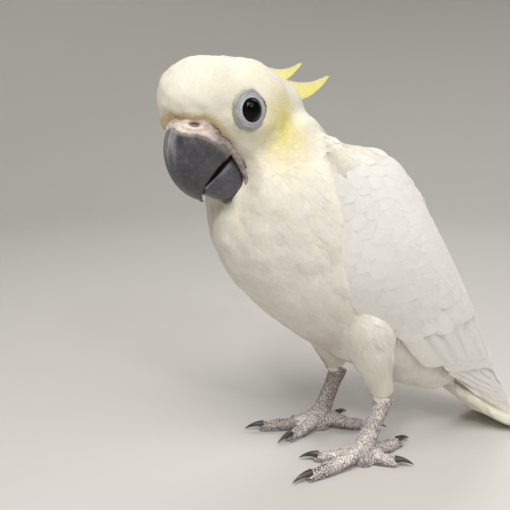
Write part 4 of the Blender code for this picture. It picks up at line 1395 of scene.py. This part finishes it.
def ballMesh(place):
    bm = bmesh.new()
    bmesh.ops.create_uvsphere(bm, u_segments=64, v_segments=40, radius=eyePlace["radius"] * mm)
    bmesh.ops.bisect_plane(
        bm, geom=bm.verts[:] + bm.edges[:] + bm.faces[:], dist=1e-7, plane_co=(0, 0, iris["behind"] * mm),
        plane_no=(0, 0, -1), clear_outer=True,
    )
    bmesh.ops.holes_fill(bm, edges=[e for e in bm.edges if e.is_boundary], sides=0)
    layer = bm.loops.layers.uv.new("iris")
    for face in bm.faces:
        for loop in face.loops:
            x, y, _ = loop.vert.co / mm
            loop[layer].uv = (math.hypot(x, y) / eyePlace["radius"], 0.5)
    bmesh.ops.recalc_face_normals(bm, faces=bm.faces)
    for v in bm.verts:
        v.co.z = v.co.z * iris["flatter"] - eyePlace["sunk"] * mm
    bm.transform(place)
    return meshOf(bm)


def lidMesh(place):
    # the bare ring round the eye, with uneven puckered folds
    folds = eyeRing["folds"]
    profile = throughPoints(folds, np.linspace(0, 1, (len(folds) - 1) * eyeRing["perFold"] + 1))
    bm = turned([(r * mm, 0, h * mm) for r, h in profile], 96)
    for v in bm.verts:
        far = math.hypot(v.co.x, v.co.y) / mm
        grow = smoothStep(4.8, 7.7, far) * (eyeRing["stretch"] - 1)
        angle = math.atan2(v.co.y, v.co.x)
        uneven = 0.022 * math.sin(angle * 5 + 1.0) + 0.014 * math.sin(angle * 9 + 2.2)
        uneven += 0.01 * math.sin(angle * 14)
        wider = 1 + uneven * smoothStep(5.4, 6.6, far)
        pucker = 0.07 * math.sin(angle * 23 + far * 2) * smoothStep(5, 6, far)
        pucker += 0.10 * math.sin(angle * 7 + far * 3) * smoothStep(5.6, 6.4, far)
        low = 0.35 * max(0, -math.sin(angle)) * math.exp(-(((far - 6.9) / 0.5) ** 2))
        v.co.x *= wider
        v.co.y *= wider * (1 + grow)
        v.co.z += (pucker + low) * mm
    bm.transform(place)
    mesh = meshOf(bm)
    setAttribute(mesh, "outward", (eyeDistance(readPoints(mesh)[0]) - 4.5) / 3.6)
    return mesh


def makeEyes():
    print("eyes")
    ball, ring = ballMaterial(), ringMaterial()
    for name, side in sides.items():
        place = eyeMatrix(side)
        addPiece(f"eyeball_{name}", ballMesh(place), ball, [f"eye_{name}"])
        addPiece(f"eyeRingSkin_{name}", lidMesh(place), ring, [f"eye_ring_{name}"])


leg = dict(
    out=20.5, step={"left": 0.0, "right": 5.0}, footRoot=(0.5, 8.5), clawLength=10,
    toes={
        "inner_front": dict(turn=-23, length=21, radius=3.0, ahead=1),
        "outer_front": dict(turn=12, length=30, radius=3.2, ahead=1),
        "inner_back": dict(turn=-28, length=14, radius=2.8, ahead=-1),
        "outer_back": dict(turn=22, length=25, radius=3.0, ahead=-1),
    },
)
claw = dict(
    stops=((0.35, (0.028, 0.024, 0.024)), (0.6, (0.070, 0.062, 0.060)), (0.8, (0.16, 0.145, 0.14))),
    stations=22,
)


def toeStart(name, toe):
    side = sides[name]
    root = birdPlace(side * leg["out"], leg["footRoot"][0] - leg["step"][name], 0)
    angle = math.radians(toe["turn"]) * side
    facing = Vector((math.sin(angle), -math.cos(angle), 0)) * toe["ahead"]
    return root, facing


def sweep(points, radii, count=16):
    angles = np.linspace(0, fullTurn, count, endpoint=False)
    rings = []
    for k, (p, r) in enumerate(zip(points, radii)):
        ahead = (points[min(k + 1, len(points) - 1)] - points[max(k - 1, 0)]).normalized()
        side = ahead.cross(Vector((0, 0, 1))).normalized()
        up = side.cross(ahead)
        rings.append([p + (side * math.cos(a) + up * math.sin(a)) * r for a in angles])
    return rings


def makeClaws():
    print("claws")
    kit = newMaterial("clawFinish", (0.05, 0.045, 0.043), 0.34, **{"Coat Weight": 0.15})
    streaks = grainNode(kit, 500, 4, 0.6)
    feed(kit, rampNode(kit, streaks, 0, claw["stops"]), 0, "Base Color")
    feed(kit, bumpNode(kit, streaks, 0.3, 0.0002), 0, "Normal")
    for name in sides:
        for label, toe in leg["toes"].items():
            root, facing = toeStart(name, toe)
            size = leg["clawLength"] * (0.8 + 0.2 * toe["length"] / 30)
            start = root + facing * (2.5 + toe["length"] - 1.6) * mm
            points, radii = [], []
            for t in np.linspace(0, 1, claw["stations"]).tolist():
                arch = math.sin(math.pi * (0.12 + 0.62 * t)) * 2.4 - 1.2 * t
                height = toe["radius"] * 0.95 * (1 - t) + 0.9 * t + arch * 0.9
                points.append(start + facing * size * t * mm + Vector((0, 0, height)) * mm)
                radii.append((1.75 * (1 - t) ** 0.8 + 0.06) * mm)
            mesh = meshOf(wrapGrid(sweep(points, radii)))
            addPiece(f"clawHorn_{label}_{name}", mesh, kit["material"], [f"claw_{label}_{name}"])


# lit is painted light and shade: each scale is darkest at its foot, in the gaps between scales
footScales = dict(  # steps are the width and height of each ring of a scale, lit its brightness
    spacing=0.85 * mm, height=0.42 * mm, sides=6, lowest=0.02 * mm, chart=0.09,
    stops=(
        (0.0, (0.13, 0.115, 0.125)), (0.35, (0.34, 0.30, 0.31)), (0.75, (0.60, 0.53, 0.52)),
        (1.0, (0.74, 0.67, 0.65)),
    ),
    steps=((1.0, -0.6), (1.0, 0.25), (0.72, 0.8), (0.25, 1.0)), lit=(0.25, 0.55, 1.0, 1.0),
)


def makeScales():
    print("foot scales")
    kit = newMaterial("scaleFinish", (0.45, 0.40, 0.41), 0.62)
    feed(kit, rampNode(kit, markNode(kit, "tone"), "Fac", footScales["stops"]), 0, "Base Color")
    feed(kit, bumpNode(kit, grainNode(kit, 1800, 2), 0.3, 0.0001), 0, "Normal")
    spacing, ringSize = footScales["spacing"], footScales["sides"]
    angle = fullTurn * np.arange(ringSize) / ringSize
    compass = np.stack([np.cos(angle), np.sin(angle)], 1)
    for name in sides:
        names = [f"shank_{name}"] + [f"toe_{t}_{name}" for t in leg["toes"]]
        form = surfaceOf(names, 0.4 * mm, 0.7 * mm, 4)
        spots = form.scatter(lambda p: np.full(len(p), spacing), lambda p: p[:, 2] > 0.7 * mm)
        spots, normals = form.drop(spots)
        keep = (normals[:, 2] > -0.8) & (spots[:, 2] > 0.6 * mm)
        spots, normals = spots[keep], normals[keep]
        count = len(spots)
        spin = unit(np.cross(normals, rng.normal(size=(count, 3))))
        other = np.cross(normals, spin)
        size = (spacing * rng.uniform(0.52, 0.72, count))[:, None, None]
        tall = (footScales["height"] * rng.uniform(0.6, 1.15, count))[:, None]
        circle = spin[:, None] * compass[:, :1] + other[:, None] * compass[:, 1:]
        rings = np.stack([
            spots[:, None] + circle * (size * scale) + (normals * (tall * height))[:, None]
            for scale, height in footScales["steps"]
        ], 1)
        rings[..., 2] = np.maximum(rings[..., 2], footScales["lowest"])
        mesh, corners = tubeMesh("scales", rings)
        # painted light: scales that face up are lighter and those that face down darker, with some random
        # tone
        shade = 0.35 + 0.5 * smoothStep(-0.6, 0.8, normals[:, 2]) + 0.16 * rng.normal(size=count)
        shade = shade.clip(0, 1)
        lit = np.array(footScales["lit"])[None, :, None]
        setAttribute(mesh, "tone", np.broadcast_to(shade[:, None, None] * lit, rings.shape[:3]))
        chart = (spots - spots.min(0))[:, :2] / footScales["chart"] * 0.9
        patch = np.tile(compass * 0.5 + 0.5, (count * rings.shape[1], 1))
        chart = np.repeat(chart, len(patch) // count, axis=0)
        setMap(mesh, "OFBake", (chart + patch * bakePatch)[corners])
        print("scales", count, len(mesh.polygons), "faces")
        addPiece(f"footScales_{name}", mesh, kit["material"])


print("guide surfaces")
billForm = surfaceOf(["bill_upper", "bill_lower"], 0, 1.0 * mm, 1)
wingForm = surfaceOf([], 0, 1.3 * mm, 2, None, [wingSolid(side, 0.04, 1) for side in sides.values()])
plumageForm = surfaceOf(fleshNodes + ["tail"], 0.35 * mm, 1.5 * mm, 6, fluffed, softMasses())
cereForm = Surface(makeCereMesh())

makeStudio()
makeFloor()
makeSkin()
makeCoat()
makeWings()
makeTail()
makeCrest()
makeBill()
makeCere()
makeEyes()
makeClaws()
makeScales()
